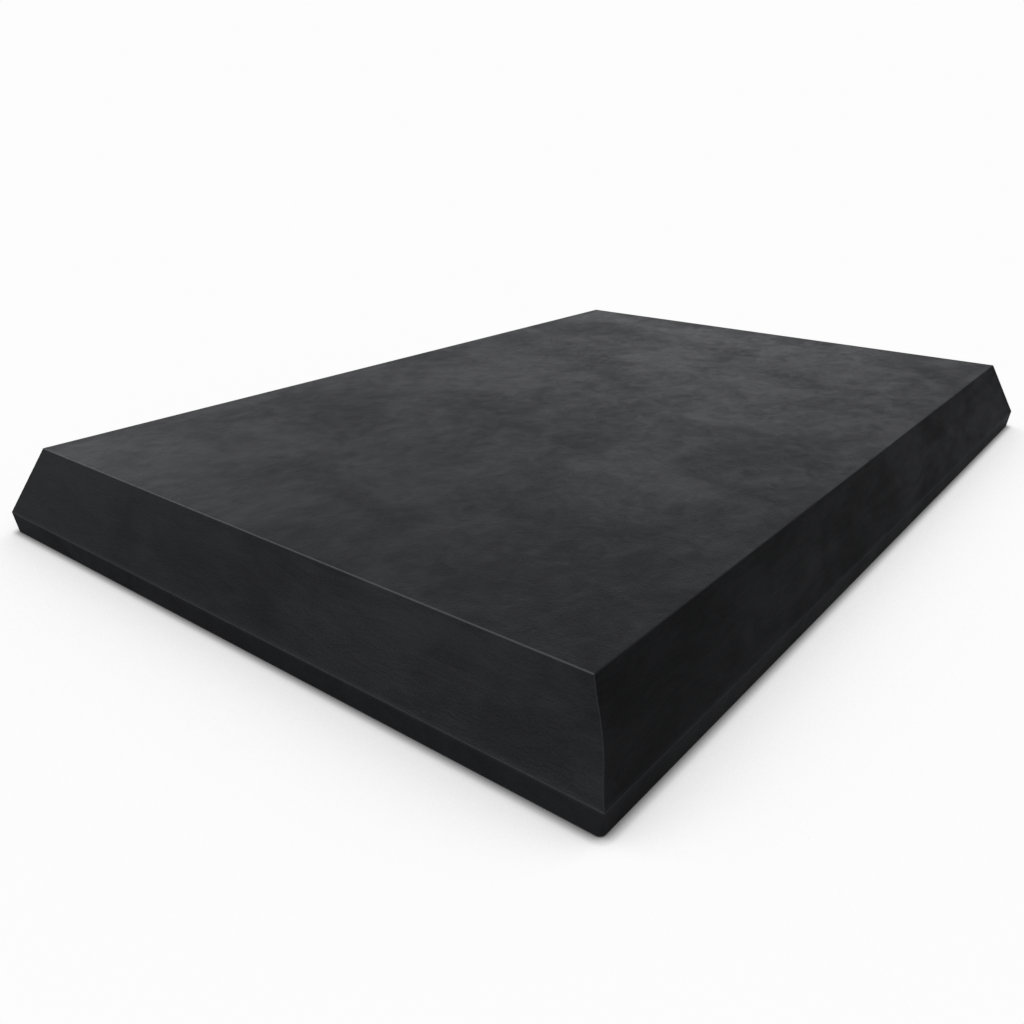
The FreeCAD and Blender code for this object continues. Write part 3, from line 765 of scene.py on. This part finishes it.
for node, inner in (("zip_end_tab_left", "left"), ("zip_end_tab_right", "right")):
    tab = side_panel(node + "_skin", "rear", WINDOW_LOW_Z, WINDOW_HIGH_Z)
    inner_x = min(abs(corner.x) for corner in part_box(node))
    tab[inner] = (inner_x, inner_x) if inner == "left" else (-inner_x, -inner_x)
    edges = {"bottom": FOLD, "top": FOLD, "left": CORNER_EDGE, "right": CORNER_EDGE}
    edges[inner] = at_every_height(FOLD)
    mesh = panel_mesh(tab, edges, 1.2 * MM, dent=0.05 * MM, fold=0.05 * MM, lay=5.2)
    add_leather(mesh, SLOPE_LEATHERETTE, node)
print("rear slope sewn")

# %% [markdown]
# ## The low band
# The band is one strip round the foot of the pad. It turns under the pad in a soft round and is sewn
# to the base there. Its corners have no seam to be seen: they are sharp at the crease and worn round
# where they meet the floor, which a profile that changes with height gives.

# %% Band profiles
TURN_UNDER = 4.0 * MM
FOOT_ROUND = 0.6 * MM
FLOOR_GAP = 0.1 * MM
TIGHT_ROLL = 0.12 * MM
CORNER_ROUND_AT_FLOOR, CORNER_ROUND_AT_CREASE = 2.6 * MM, 0.5 * MM


def turned_under_edge():
    """Over the foot, along under the pad, up into the base's seam and back to the face."""
    foot_turn = math.pi - BASE_ANGLE
    moves = [(FOOT_ROUND, foot_turn), (TURN_UNDER - FOOT_ROUND, None), (TIGHT_ROLL, math.pi / 2),
             (LEATHER - 2 * TIGHT_ROLL, None), (TIGHT_ROLL, math.pi / 2)]
    reached = walk_edge(moves, BASE_ANGLE, FLOOR_GAP, anchor=ARC_STEPS + 1)[0][1]
    back = (reached - LEATHER) / math.sin(BASE_ANGLE)
    return with_support(walk_edge(moves + [(back, None)], BASE_ANGLE, FLOOR_GAP, anchor=ARC_STEPS + 1))


def band_corner(share):
    corner_round = CORNER_ROUND_AT_FLOOR + (CORNER_ROUND_AT_CREASE - CORNER_ROUND_AT_FLOOR) * share
    return sewn_edge(corner_round, BAND_CORNER, roll=0.04 * MM)


BAND_EDGES = {"bottom": turned_under_edge(), "top": CREASE_EDGE, "left": band_corner, "right": band_corner}

# %% Bands
for order, side in enumerate(SIDES):
    panel = side_panel(f"{side}_band_skin", side, 0, CREASE_Z)
    mesh = panel_mesh(panel, BAND_EDGES, 1.5 * MM, dent=0.08 * MM, fold=0.06 * MM, stretch=1.5,
                      lay=7.1 + order)
    add_leather(mesh, BAND_LEATHERETTE, f"{side}_band")
print("bands sewn")

# %% [markdown]
# ## The grip base
# The underside is a woven fabric, cut to the turned-under edge and sewn to it, with raised dots of
# soft PVC printed on it so that the pad can't slide. The dots carry the weight and touch the floor.

# %% Base fabric
FABRIC_Z = 0.55 * MM
BASE_INSET = inset_at(0) + TURN_UNDER + 0.1 * MM
BASE_PANEL = level_panel("base_fabric", FABRIC_Z, -UP, HALF_LENGTH - BASE_INSET, HALF_WIDTH - BASE_INSET)
FABRIC_EDGE = walk_edge([(0.3 * MM, math.pi / 2), (0.6 * MM, None)], math.pi / 2, 0)
base_mesh = panel_mesh(BASE_PANEL, all_round(FABRIC_EDGE), 5 * MM, dent=0.1 * MM, lay=12.0)
base_fabric = add_piece(base_mesh, GRIP_WEAVE, replaces=["base_panel"])
print("base fabric", round(BASE_PANEL["height"] / MM), "mm wide")

# %% [markdown]
# ## Geometry Nodes for what repeats
# Dots, stitches and zip teeth are the same small shape many times. Copying objects in a loop would
# work, but a Geometry Nodes tree keeps the sizes as named inputs and places the copies by rule. Each
# tree ends in Realize Instances and Set Material, and its result is turned into a plain mesh.

# %% Helpers for Geometry Nodes
def new_growth(name, inputs):
    """A tree with a source geometry, named number inputs and a material."""
    tree = bpy.data.node_groups.new(name, "GeometryNodeTree")
    tree.interface.new_socket("Geometry", in_out="INPUT", socket_type="NodeSocketGeometry")
    for label, value in inputs.items():
        kind = "NodeSocketInt" if isinstance(value, int) else "NodeSocketFloat"
        socket = tree.interface.new_socket(label, in_out="INPUT", socket_type=kind)
        socket.default_value = value
    tree.interface.new_socket("Finish", in_out="INPUT", socket_type="NodeSocketMaterial")
    tree.interface.new_socket("Geometry", in_out="OUTPUT", socket_type="NodeSocketGeometry")
    return tree, add_node(tree, "NodeGroupInput")


def end_growth(tree, given, instances):
    real = add_node(tree, "GeometryNodeRealizeInstances", {"Geometry": instances})
    smooth = add_node(tree, "GeometryNodeSetShadeSmooth", {"Geometry": real.outputs[0]})
    finish = add_node(tree, "GeometryNodeSetMaterial", {
        "Geometry": smooth.outputs[0], "Material": given.outputs["Finish"]})
    add_node(tree, "NodeGroupOutput", {"Geometry": finish.outputs[0]})


def grow(name, tree, material, values=None, guide=None, body="pad"):
    """Runs a tree on a guide mesh and keeps the result as a plain piece."""
    guide = guide or bpy.data.meshes.new(name + "_guide")
    carrier = bpy.data.objects.new(name + "_carrier", guide)
    bpy.context.scene.collection.objects.link(carrier)
    modifier = carrier.modifiers.new("growth", "NODES")
    modifier.node_group = tree
    for item in tree.interface.items_tree:
        if item.in_out == "INPUT" and item.name in (values or {}):
            modifier[item.identifier] = values[item.name]
        if item.in_out == "INPUT" and item.name == "Finish":
            modifier[item.identifier] = material
    evaluated = carrier.evaluated_get(bpy.context.evaluated_depsgraph_get())
    mesh = bpy.data.meshes.new_from_object(evaluated)
    bpy.data.objects.remove(carrier)
    mesh.name = name
    print(name, "faces:", len(mesh.polygons))
    return add_piece(mesh, material, body=body)


# %% [markdown]
# ## Grip dots
# The dots are set in staggered rows, as printed dots are, so that they lie as close as they can. A grid
# gives a point for each dot, every other row is pushed half a pitch aside, and a blunt cone of ten sides
# stands on each point. There are thousands of them, so a dot has very few faces.

# %% Grip dots
def grip_dot_tree():
    tree, given = new_growth("grip_dots", {
        "Length": 0.5, "Width": 0.4, "Pitch": 8 * MM, "Dot width": 3 * MM, "Dot height": 0.5 * MM})
    row_pitch = add_node(tree, "ShaderNodeMath", {0: given.outputs["Pitch"], 1: math.sin(math.pi / 3)},
                         operation="MULTIPLY")
    columns = add_node(tree, "ShaderNodeMath", {
        0: given.outputs["Length"], 1: given.outputs["Pitch"]}, operation="DIVIDE")
    rows = add_node(tree, "ShaderNodeMath", {
        0: given.outputs["Width"], 1: row_pitch.outputs[0]}, operation="DIVIDE")
    field = add_node(tree, "GeometryNodeMeshGrid", {
        "Size X": given.outputs["Length"], "Size Y": given.outputs["Width"],
        "Vertices X": columns.outputs[0], "Vertices Y": rows.outputs[0]})
    index = add_node(tree, "GeometryNodeInputIndex")
    whole_rows = add_node(tree, "ShaderNodeMath", {0: rows.outputs[0]}, operation="FLOOR")
    row_number = add_node(tree, "ShaderNodeMath", {
        0: index.outputs[0], 1: whole_rows.outputs[0]}, operation="MODULO")
    odd = add_node(tree, "ShaderNodeMath", {0: row_number.outputs[0], 1: 2.0}, operation="MODULO")
    half_step = add_node(tree, "ShaderNodeMath", {0: odd.outputs[0], 1: given.outputs["Pitch"]},
                         operation="MULTIPLY")
    aside = add_node(tree, "ShaderNodeMath", {0: half_step.outputs[0], 1: 0.5}, operation="MULTIPLY")
    shift = add_node(tree, "ShaderNodeCombineXYZ", {"X": aside.outputs[0]})
    staggered = add_node(tree, "GeometryNodeSetPosition", {
        "Geometry": field.outputs["Mesh"], "Offset": shift.outputs[0]})
    radius = add_node(tree, "ShaderNodeMath", {0: given.outputs["Dot width"], 1: 0.5}, operation="MULTIPLY")
    tip = add_node(tree, "ShaderNodeMath", {0: given.outputs["Dot width"], 1: 0.32}, operation="MULTIPLY")
    dot = add_node(tree, "GeometryNodeMeshCone", {
        "Vertices": 10, "Radius Top": radius.outputs[0], "Radius Bottom": tip.outputs[0],
        "Depth": given.outputs["Dot height"]})
    dots = add_node(tree, "GeometryNodeInstanceOnPoints", {
        "Points": staggered.outputs[0], "Instance": dot.outputs["Mesh"]})
    end_growth(tree, given, dots.outputs[0])
    return tree


DOT_PITCH = 8 * MM
grip_dots = grow("grip_dots", grip_dot_tree(), PVC_DOT, {
    "Length": 2 * BASE_PANEL["right"][0] - 3 * DOT_PITCH, "Width": BASE_PANEL["height"] - 2 * DOT_PITCH,
    "Pitch": DOT_PITCH})

# %% [markdown]
# ## Stitches
# A lockstitch shows as a row of short raised threads that dip into the material at their ends. A dashed
# line painted on would have no height, so each stitch is a long bead, laid along a guide line at an even
# pitch and turned a little at random, with a fixed seed, because no sewn row is quite straight.

# %% Stitch rows
def stitch_tree():
    """Short raised threads along the guide's edges, each dipping into the leather at its ends."""
    tree, given = new_growth("stitches", {
        "Pitch": 3.6 * MM, "Stitch length": 2.9 * MM, "Thread": 0.45 * MM, "Seed": 4})
    path = add_node(tree, "GeometryNodeMeshToCurve", {"Mesh": given.outputs["Geometry"]})
    spots = add_node(tree, "GeometryNodeCurveToPoints", {
        "Curve": path.outputs[0], "Length": given.outputs["Pitch"]}, mode="LENGTH")
    bead = add_node(tree, "GeometryNodeMeshUVSphere", {"Segments": 6, "Rings": 5, "Radius": 0.5})
    size = add_node(tree, "ShaderNodeCombineXYZ", {
        "X": given.outputs["Thread"], "Y": given.outputs["Thread"], "Z": given.outputs["Stitch length"]})
    askew = add_node(tree, "FunctionNodeRandomValue", {
        2: -0.06, 3: 0.06, "Seed": given.outputs["Seed"]}, data_type="FLOAT")
    turn = add_node(tree, "ShaderNodeCombineXYZ", {"X": askew.outputs[1], "Y": askew.outputs[1]})
    turned = add_node(tree, "FunctionNodeRotateRotation", {
        "Rotation": spots.outputs["Rotation"], "Rotate By": turn.outputs[0]}, rotation_space="LOCAL")
    stitches = add_node(tree, "GeometryNodeInstanceOnPoints", {
        "Points": spots.outputs["Points"], "Instance": bead.outputs["Mesh"],
        "Rotation": turned.outputs[0], "Scale": size.outputs[0]})
    end_growth(tree, given, stitches.outputs[0])
    return tree


STITCHES = stitch_tree()


def guide_lines(name, lines):
    """A mesh of open lines, each a list of points."""
    points, edges = [], []
    for line in lines:
        edges += [(len(points) + step, len(points) + step + 1) for step in range(len(line) - 1)]
        points += line
    mesh = bpy.data.meshes.new(name)
    mesh.from_pydata(points, edges, [])
    return mesh


def rectangle(half_x, half_y, z):
    corners = [Vector((sx * half_x, sy * half_y, z)) for sx, sy in ((-1, -1), (1, -1), (1, 1), (-1, 1))]
    return [[corners[n], corners[(n + 1) % 4]] for n in range(4)]


HEM = 2.2 * MM
base_rows = rectangle(BASE_PANEL["right"][0] - HEM, BASE_PANEL["height"] / 2 - HEM, FABRIC_Z - 0.05 * MM)
grow("base_seam_stitches", STITCHES, THREAD, guide=guide_lines("base_rows", base_rows))

# %% [markdown]
# ## The zip
# The cover closes with a coil zip across the rear slope. Two woven tapes are sewn behind the window's
# folded edges, and each carries a coil of nylon monofilament, whose turns are the teeth. Everything
# here is placed in the zip's own frame: along the zip, up the slope and out of it.

# %% The zip's own frame
ZIP_Z = (WINDOW_LOW_Z + WINDOW_HIGH_Z) / 2
ZIP_ORIGIN = Vector((0, HALF_WIDTH - inset_at(ZIP_Z), ZIP_Z))
ZIP_ALONG = Vector((-1, 0, 0))
ZIP_OUT = SLOPE_NORMALS["rear"]
ZIP_UP = ZIP_OUT.cross(ZIP_ALONG)


def on_zip(along, up, out):
    return ZIP_ORIGIN + ZIP_ALONG * along + ZIP_UP * up + ZIP_OUT * out


def zip_span(node):
    """How far a CAD node reaches along, up and out in the zip's frame: three pairs."""
    local = [vertex.co - ZIP_ORIGIN for vertex in bpy.data.objects[node].data.vertices]
    return [(min(p.dot(axis) for p in local), max(p.dot(axis) for p in local))
            for axis in (ZIP_ALONG, ZIP_UP, ZIP_OUT)]


for node in ("zip_tape_upper", "zip_coil_upper"):
    print(node, [[round(v / MM, 2) for v in pair] for pair in zip_span(node)])

# %% [markdown]
# ## The tapes
# Each tape is a woven strip with a selvedge along both sides. It is a thin closed sheet with rounded
# edges, made by the same function as the leather, and very slightly wavy, as ribbon is.

# %% Woven tapes
TAPE_WAVES = 0.12 * MM
for node in ("zip_tape_upper", "zip_tape_lower"):
    (start, end), (low, high), (back, face) = zip_span(node)
    tape = {
        "name": node + "_woven", "origin": on_zip(0, low, face), "along": ZIP_ALONG, "up": ZIP_UP,
        "normal": ZIP_OUT, "height": high - low, "mitre": 0, "left": (start, start), "right": (end, end),
    }
    selvedge = rounded_edge(face - back)
    mesh = panel_mesh(tape, all_round(selvedge), 1.5 * MM, dent=TAPE_WAVES, lay=14.0)
    piece = add_piece(mesh, ZIP_TAPE, replaces=[node])
print("tapes woven")

# %% [markdown]
# ## The coils
# A coil is one filament wound round a core cord, flattened so that its turns hook into the other coil's.
# A Screw modifier could wind a round spring, but not this rounded rectangle, so one turn is a ring with
# filleted corners and five sides to its filament, repeated at the coil's pitch and leaning a little.

# %% Zip coils
def coil_tree():
    """Turns of monofilament round a core cord, along the guide's line."""
    tree, given = new_growth("zip_coil_turns", {
        "Pitch": 1.3 * MM, "Turn width": 2.0 * MM, "Turn height": 1.6 * MM, "Corner": 0.55 * MM,
        "Filament": 0.31 * MM, "Core": 0.45 * MM, "Slant": 0.12})
    line = add_node(tree, "GeometryNodeMeshToCurve", {"Mesh": given.outputs["Geometry"]})
    spots = add_node(tree, "GeometryNodeCurveToPoints", {
        "Curve": line.outputs[0], "Length": given.outputs["Pitch"]}, mode="LENGTH")
    outline = add_node(tree, "GeometryNodeCurvePrimitiveQuadrilateral", {
        "Width": given.outputs["Turn width"], "Height": given.outputs["Turn height"]})
    turn = add_node(tree, "GeometryNodeFilletCurve", {
        "Curve": outline.outputs[0], "Radius": given.outputs["Corner"], "Count": 1}, mode="POLY")
    filament = add_node(tree, "GeometryNodeCurvePrimitiveCircle", {
        "Resolution": 5, "Radius": given.outputs["Filament"]})
    tooth = add_node(tree, "GeometryNodeCurveToMesh", {
        "Curve": turn.outputs[0], "Profile Curve": filament.outputs[0]})
    stance = add_node(tree, "FunctionNodeAxesToRotation", {
        "Primary Axis": ZIP_UP, "Secondary Axis": ZIP_OUT}, primary_axis="X", secondary_axis="Y")
    lean = add_node(tree, "ShaderNodeCombineXYZ", {"Y": given.outputs["Slant"]})
    leaning = add_node(tree, "FunctionNodeRotateRotation", {
        "Rotation": stance.outputs[0], "Rotate By": lean.outputs[0]}, rotation_space="LOCAL")
    teeth = add_node(tree, "GeometryNodeInstanceOnPoints", {
        "Points": spots.outputs["Points"], "Instance": tooth.outputs[0], "Rotation": leaning.outputs[0]})
    cord = add_node(tree, "GeometryNodeCurvePrimitiveCircle", {
        "Resolution": 8, "Radius": given.outputs["Core"]})
    core = add_node(tree, "GeometryNodeCurveToMesh", {
        "Curve": line.outputs[0], "Profile Curve": cord.outputs[0], "Fill Caps": True})
    both = add_node(tree, "GeometryNodeJoinGeometry", {"Geometry": core.outputs[0]})
    tree.links.new(teeth.outputs[0], both.inputs[0])
    end_growth(tree, given, both.outputs[0])
    return tree


COIL = coil_tree()
PITCH = 1.3 * MM
FILAMENT = 0.31 * MM
TOOTH_REACH = 0.45 * MM
for node, sign in (("zip_coil_upper", 1), ("zip_coil_lower", -1)):
    (start, end), up_span, (back, face) = zip_span(node)
    outer = max(abs(edge) for edge in up_span)
    width, height = outer - TOOTH_REACH - 2 * FILAMENT, face - back - 2 * FILAMENT
    middle_up, middle_out = sign * (outer + TOOTH_REACH) / 2, (back + face) / 2
    lead = PITCH * (0.5 if sign > 0 else 1.0)
    line = guide_lines(node + "_line", [[on_zip(start + lead, middle_up, middle_out),
                                         on_zip(end - PITCH / 2, middle_up, middle_out)]])
    coil = grow(node + "_turns", COIL, NYLON_COIL, {
        "Pitch": PITCH, "Turn width": width, "Turn height": height, "Filament": FILAMENT,
        "Slant": 0.12 * sign}, guide=line)
    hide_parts(node)

# %% [markdown]
# ## Stitches at the zip
# A lockstitch holds each folded edge to its tape, a few millimetres from the fold, and a finer row
# holds each coil. The row on the leather follows the leather's own relief, lifted by half a thread.

# %% Stitch rows along the window
STITCH_STEP = 6 * MM


def row_on_leather(panel, y, margin):
    """Points on a panel's face along a line at one height."""
    left, right = panel_ends(panel, y)
    count = round((right - left - 2 * margin) / STITCH_STEP)
    line = []
    for step in range(count + 1):
        x = left + margin + (right - left - 2 * margin) * step / count
        inside = min(x - left, right - x, y, panel["height"] - y)
        lift = relief(panel, x, y, inside, STRIP_DENT, STRIP_FOLD, STRIP_STRETCH) + 0.05 * MM
        line.append(panel_point(panel, x, y) + panel["normal"] * lift)
    return line


lower_row = row_on_leather(REAR_LOWER, REAR_LOWER["height"] - TOPSTITCH_IN, 6 * MM)
upper_row = row_on_leather(REAR_UPPER, TOPSTITCH_IN, 6 * MM)
grow("window_topstitch", STITCHES, THREAD, guide=guide_lines("window_rows", [lower_row, upper_row]))

tape_face = zip_span("zip_tape_upper")[2][1]
coil_edge = zip_span("zip_coil_upper")[1][1]
COIL_ROW_HALF, COIL_ROW_OFF, COIL_ROW_LIFT = 268 * MM, 0.9 * MM, 0.03 * MM
coil_rows = [[on_zip(end, sign * (coil_edge + COIL_ROW_OFF), tape_face + COIL_ROW_LIFT)
              for end in (-COIL_ROW_HALF, COIL_ROW_HALF)] for sign in (1, -1)]
grow("coil_stitches", STITCHES, THREAD, {"Pitch": 2.4 * MM, "Stitch length": 2.0 * MM,
     "Thread": 0.3 * MM}, guide=guide_lines("coil_rows", coil_rows))

# %% [markdown]
# ## Slider, pull tab and stops
# These are die-cast and stamped metal. Their CAD shapes are right, but every edge is knife-sharp, and
# the eye reads an enamelled casting by the light along its eased edges. So each is a copy of its CAD
# shape, merged and cleaned, with a Bevel modifier on its sharp edges.

# %% Eased copies of the metal parts
def eased_copy(node, name, material, easing, flat_angle, sharp_angle, body="pad"):
    """The node's shape, with flat faces merged within flat_angle and edges over sharp_angle eased."""
    work = bmesh.new()
    work.from_mesh(bpy.data.objects[node].data)
    bmesh.ops.remove_doubles(work, verts=work.verts, dist=0.001 * MM)
    bmesh.ops.dissolve_limit(work, angle_limit=math.radians(flat_angle), verts=work.verts,
                             edges=work.edges)
    mesh = bpy.data.meshes.new(name)
    work.to_mesh(mesh)
    work.free()
    mesh.shade_smooth()
    piece = add_piece(mesh, material, body=body, replaces=[node])
    ease = piece.modifiers.new("eased edges", "BEVEL")
    ease.width = easing
    ease.segments = 3
    ease.limit_method = "ANGLE"
    ease.angle_limit = math.radians(sharp_angle)
    ease.harden_normals = True
    print(name, "faces before easing:", len(mesh.polygons))
    return piece


for node, name, easing, body in (
    ("zip_slider", "slider_casting", 0.18 * MM, "slider"),
    ("zip_pull_tab", "pull_tab_stamping", 0.22 * MM, "pull"),
    ("zip_top_stops", "top_stops_crimped", 0.15 * MM, "pad"),
    ("zip_bottom_stop", "bottom_stop_crimped", 0.15 * MM, "pad"),
):
    eased_copy(node, name, BLACK_ENAMEL, easing, 2, 35, body)

# %% [markdown]
# ## Foam layers
# Inside the cover lie a firm base layer and a soft top layer, bonded face to face. They are cut with a
# blade, so their edges are crisp but give a little. Their CAD shapes are the cut sizes, and each copy
# has its edges eased by about a millimetre.

# %% Foam layers
for node, name, material, slot, easing in (
    ("foam_base_layer", "firm_foam_layer", FIRM_FOAM, "firm_foam", 0.8 * MM),
    ("foam_top_layer", "soft_foam_layer", SOFT_FOAM, "soft_foam", 1.0 * MM),
):
    eased_copy(node, name, material, easing, 1, 30)
print("foam layers cut")

# %% [markdown]
# ## Floor
# The pad lies on a plain white floor in a white studio, lit so brightly that only the contact shadow
# can be seen. For the camera the floor is a glow that fades where the pad hides the room from it,
# which Ambient Occlusion measures at two reaches: near the foot and further off. For the pad's own
# light it is a matt surface, painted darker on the left than on the right, which darkens the upright
# band that reflects it there. Seen from below it is clear, so that the underside shows.

# %% White floor
FLOOR_HALF = 12.0
FOOT_REACH = 4.5 * MM
ROOM_REACH = 0.25
FOOT_DEPTH = 1.5
OVER_EXPOSURE = 1.11
STUDIO_WHITE = 0.98
floor_mesh = bpy.data.meshes.new("floor")
floor_corners = [(sx * FLOOR_HALF, sy * FLOOR_HALF, 0) for sx, sy in ((-1, -1), (1, -1), (1, 1), (-1, 1))]
floor_mesh.from_pydata(floor_corners, [], [(0, 1, 2, 3)])
floor = bpy.data.objects.new("floor", floor_mesh)
bpy.context.scene.collection.objects.link(floor)
floor_finish, tree = new_material("white_studio_floor")
foot = add_node(tree, "ShaderNodeAmbientOcclusion", {"Distance": FOOT_REACH}, samples=8)
room = add_node(tree, "ShaderNodeAmbientOcclusion", {"Distance": ROOM_REACH}, samples=8)
foot_shade = add_node(tree, "ShaderNodeMath", {0: foot.outputs["AO"], 1: FOOT_DEPTH}, operation="POWER")
shade = add_node(tree, "ShaderNodeMath", {0: foot_shade.outputs[0], 1: room.outputs["AO"]},
                 operation="MULTIPLY")
bright = add_node(tree, "ShaderNodeMath", {0: shade.outputs[0], 1: OVER_EXPOSURE},
                  operation="MULTIPLY")
glow = add_node(tree, "ShaderNodeMath", {0: bright.outputs[0], 1: STUDIO_WHITE}, operation="MINIMUM")
seen_floor = add_node(tree, "ShaderNodeEmission", {
    "Color": (1, 1, 1, 1), "Strength": glow.outputs[0]})
floor_place = add_node(tree, "ShaderNodeTexCoord")
floor_parts = add_node(tree, "ShaderNodeSeparateXYZ", {"Vector": floor_place.outputs["Object"]})
floor_right = add_node(tree, "ShaderNodeMath", {
    0: floor_parts.outputs["X"], 1: floor_parts.outputs["Y"]}, operation="SUBTRACT")
floor_tone = add_node(tree, "ShaderNodeMapRange", {
    "Value": floor_right.outputs[0], "From Min": -0.3, "From Max": 0.0, "To Min": 0.5, "To Max": 1.0})
lit_floor = add_node(tree, "ShaderNodeBsdfDiffuse", {"Color": floor_tone.outputs[0]})
clear = add_node(tree, "ShaderNodeBsdfTransparent")
ray = add_node(tree, "ShaderNodeLightPath")
side = add_node(tree, "ShaderNodeNewGeometry")
above = add_node(tree, "ShaderNodeMixShader", {
    0: ray.outputs["Is Camera Ray"], 1: lit_floor.outputs[0], 2: seen_floor.outputs[0]})
see_through = add_node(tree, "ShaderNodeMath", {
    0: side.outputs["Backfacing"], 1: ray.outputs["Is Shadow Ray"]}, operation="MAXIMUM")
whole = add_node(tree, "ShaderNodeMixShader", {
    0: see_through.outputs[0], 1: above.outputs[0], 2: clear.outputs[0]})
add_node(tree, "ShaderNodeOutputMaterial", {"Surface": whole.outputs[0]})
floor_mesh.materials.append(floor_finish)

# %% [markdown]
# ## Light
# The room is a soft dome made of a few broad glows, each with a direction, a tightness and a strength.
# Low glows behind the pad light its top at a glancing angle, which is what makes dark leather pale
# towards its far edges. Little light comes from the front, so the front slope stays nearly black. A
# narrow glow, high behind, catches the edge between the top and the left slope, where a highlight is
# also painted on. The values are round and given one by one: area lamps would need a place and a size
# each, and a glow needs only a direction.

# %% Soft dome
ROOM_TINT = (0.975, 0.985, 1.03, 1)
GLOWS = {
    # name: azimuth and elevation in degrees, tightness, strength
    "behind, low": (80, 20, 10.0, 0.9),
    "behind to the right, low": (25, 10, 10.0, 0.7),
    "left, low": (150, 10, 10.0, 0.7),
    "left, high": (180, 45, 6.0, 0.4),
    "behind, high and narrow": (100, 35, 60.0, 1.0),
    "behind the camera, low": (225, 10, 10.0, 0.4),
    "front, low": (270, 10, 10.0, 0.2),
}
world = bpy.data.worlds.new("soft_dome")
bpy.context.scene.world = world
world.use_nodes = True
tree = world.node_tree
tree.nodes.clear()
look = add_node(tree, "ShaderNodeTexCoord")
total = None
for name, (azimuth, elevation, tightness, strength) in GLOWS.items():
    level = math.cos(math.radians(elevation))
    towards = (math.cos(math.radians(azimuth)) * level, math.sin(math.radians(azimuth)) * level,
               math.sin(math.radians(elevation)))
    facing = add_node(tree, "ShaderNodeVectorMath", {
        0: look.outputs["Generated"], 1: towards}, operation="DOT_PRODUCT")
    ahead = add_node(tree, "ShaderNodeMath", {0: facing.outputs["Value"], 1: 0.0}, operation="MAXIMUM")
    lobe = add_node(tree, "ShaderNodeMath", {0: ahead.outputs[0], 1: tightness}, operation="POWER")
    total = add_node(tree, "ShaderNodeMath", {
        0: lobe.outputs[0], 1: strength, 2: total.outputs[0] if total else 0.0},
        operation="MULTIPLY_ADD")
    print("glow", name, [round(part, 2) for part in towards], strength)
split = add_node(tree, "ShaderNodeSeparateXYZ", {"Vector": look.outputs["Generated"]})
over_floor = add_node(tree, "ShaderNodeMath", {0: split.outputs["Z"], 1: 0.0}, operation="GREATER_THAN")
strength = add_node(tree, "ShaderNodeMath", {0: total.outputs[0], 1: over_floor.outputs[0]},
                    operation="MULTIPLY")
room = add_node(tree, "ShaderNodeBackground", {
    "Color": ROOM_TINT, "Strength": strength.outputs[0]})
white = add_node(tree, "ShaderNodeBackground", {"Color": (1, 1, 1, 1), "Strength": STUDIO_WHITE})
ray = add_node(tree, "ShaderNodeLightPath")
seen = add_node(tree, "ShaderNodeMixShader", {
    0: ray.outputs["Is Camera Ray"], 1: room.outputs[0], 2: white.outputs[0]})
add_node(tree, "ShaderNodeOutputWorld", {"Surface": seen.outputs[0]})
bpy.context.scene.view_settings.view_transform = "Standard"

# %% [markdown]
# ## Light from below
# A light under the clear floor shines straight up on the underside, and only there, because its
# spread is narrow. It shows the grip fabric to whoever looks from below.

# %% Light under the floor
UNDER_INSET = 5 * MM
UNDER_DEPTH = 12 * MM
under = bpy.data.lights.new("underside_light", "AREA")
under.shape = "RECTANGLE"
under.size = 2 * BASE_PANEL["right"][0] - 2 * UNDER_INSET
under.size_y = BASE_PANEL["height"] - 2 * UNDER_INSET
under.energy = 1.0
under.spread = math.radians(30)
under_light = bpy.data.objects.new("underside_light", under)
bpy.context.scene.collection.objects.link(under_light)
under_light.location = (0, 0, -UNDER_DEPTH)
under_light.rotation_euler = (math.pi, 0, 0)

# %% [markdown]
# ## Camera
# A wide lens, close to the pad and a little above it, looks at the corner between the front and the
# left side. Its small roll keeps the far edge as level as the eye expects.

# %% Camera
camera_data = bpy.data.cameras.new("camera")
camera = bpy.data.objects.new("camera", camera_data)
bpy.context.scene.collection.objects.link(camera)
bpy.context.scene.camera = camera
camera_data.lens = 32.24
camera_data.sensor_width = 36
camera.location = (-0.5066, -0.3245, 0.21745)
camera_aim = Vector((0.72783, 0.56767, -0.38473))
camera_roll = Matrix.Rotation(math.radians(0.449), 4, "Z").to_quaternion()
camera.rotation_mode = "QUATERNION"
camera.rotation_quaternion = camera_aim.to_track_quat("-Z", "Y") @ camera_roll
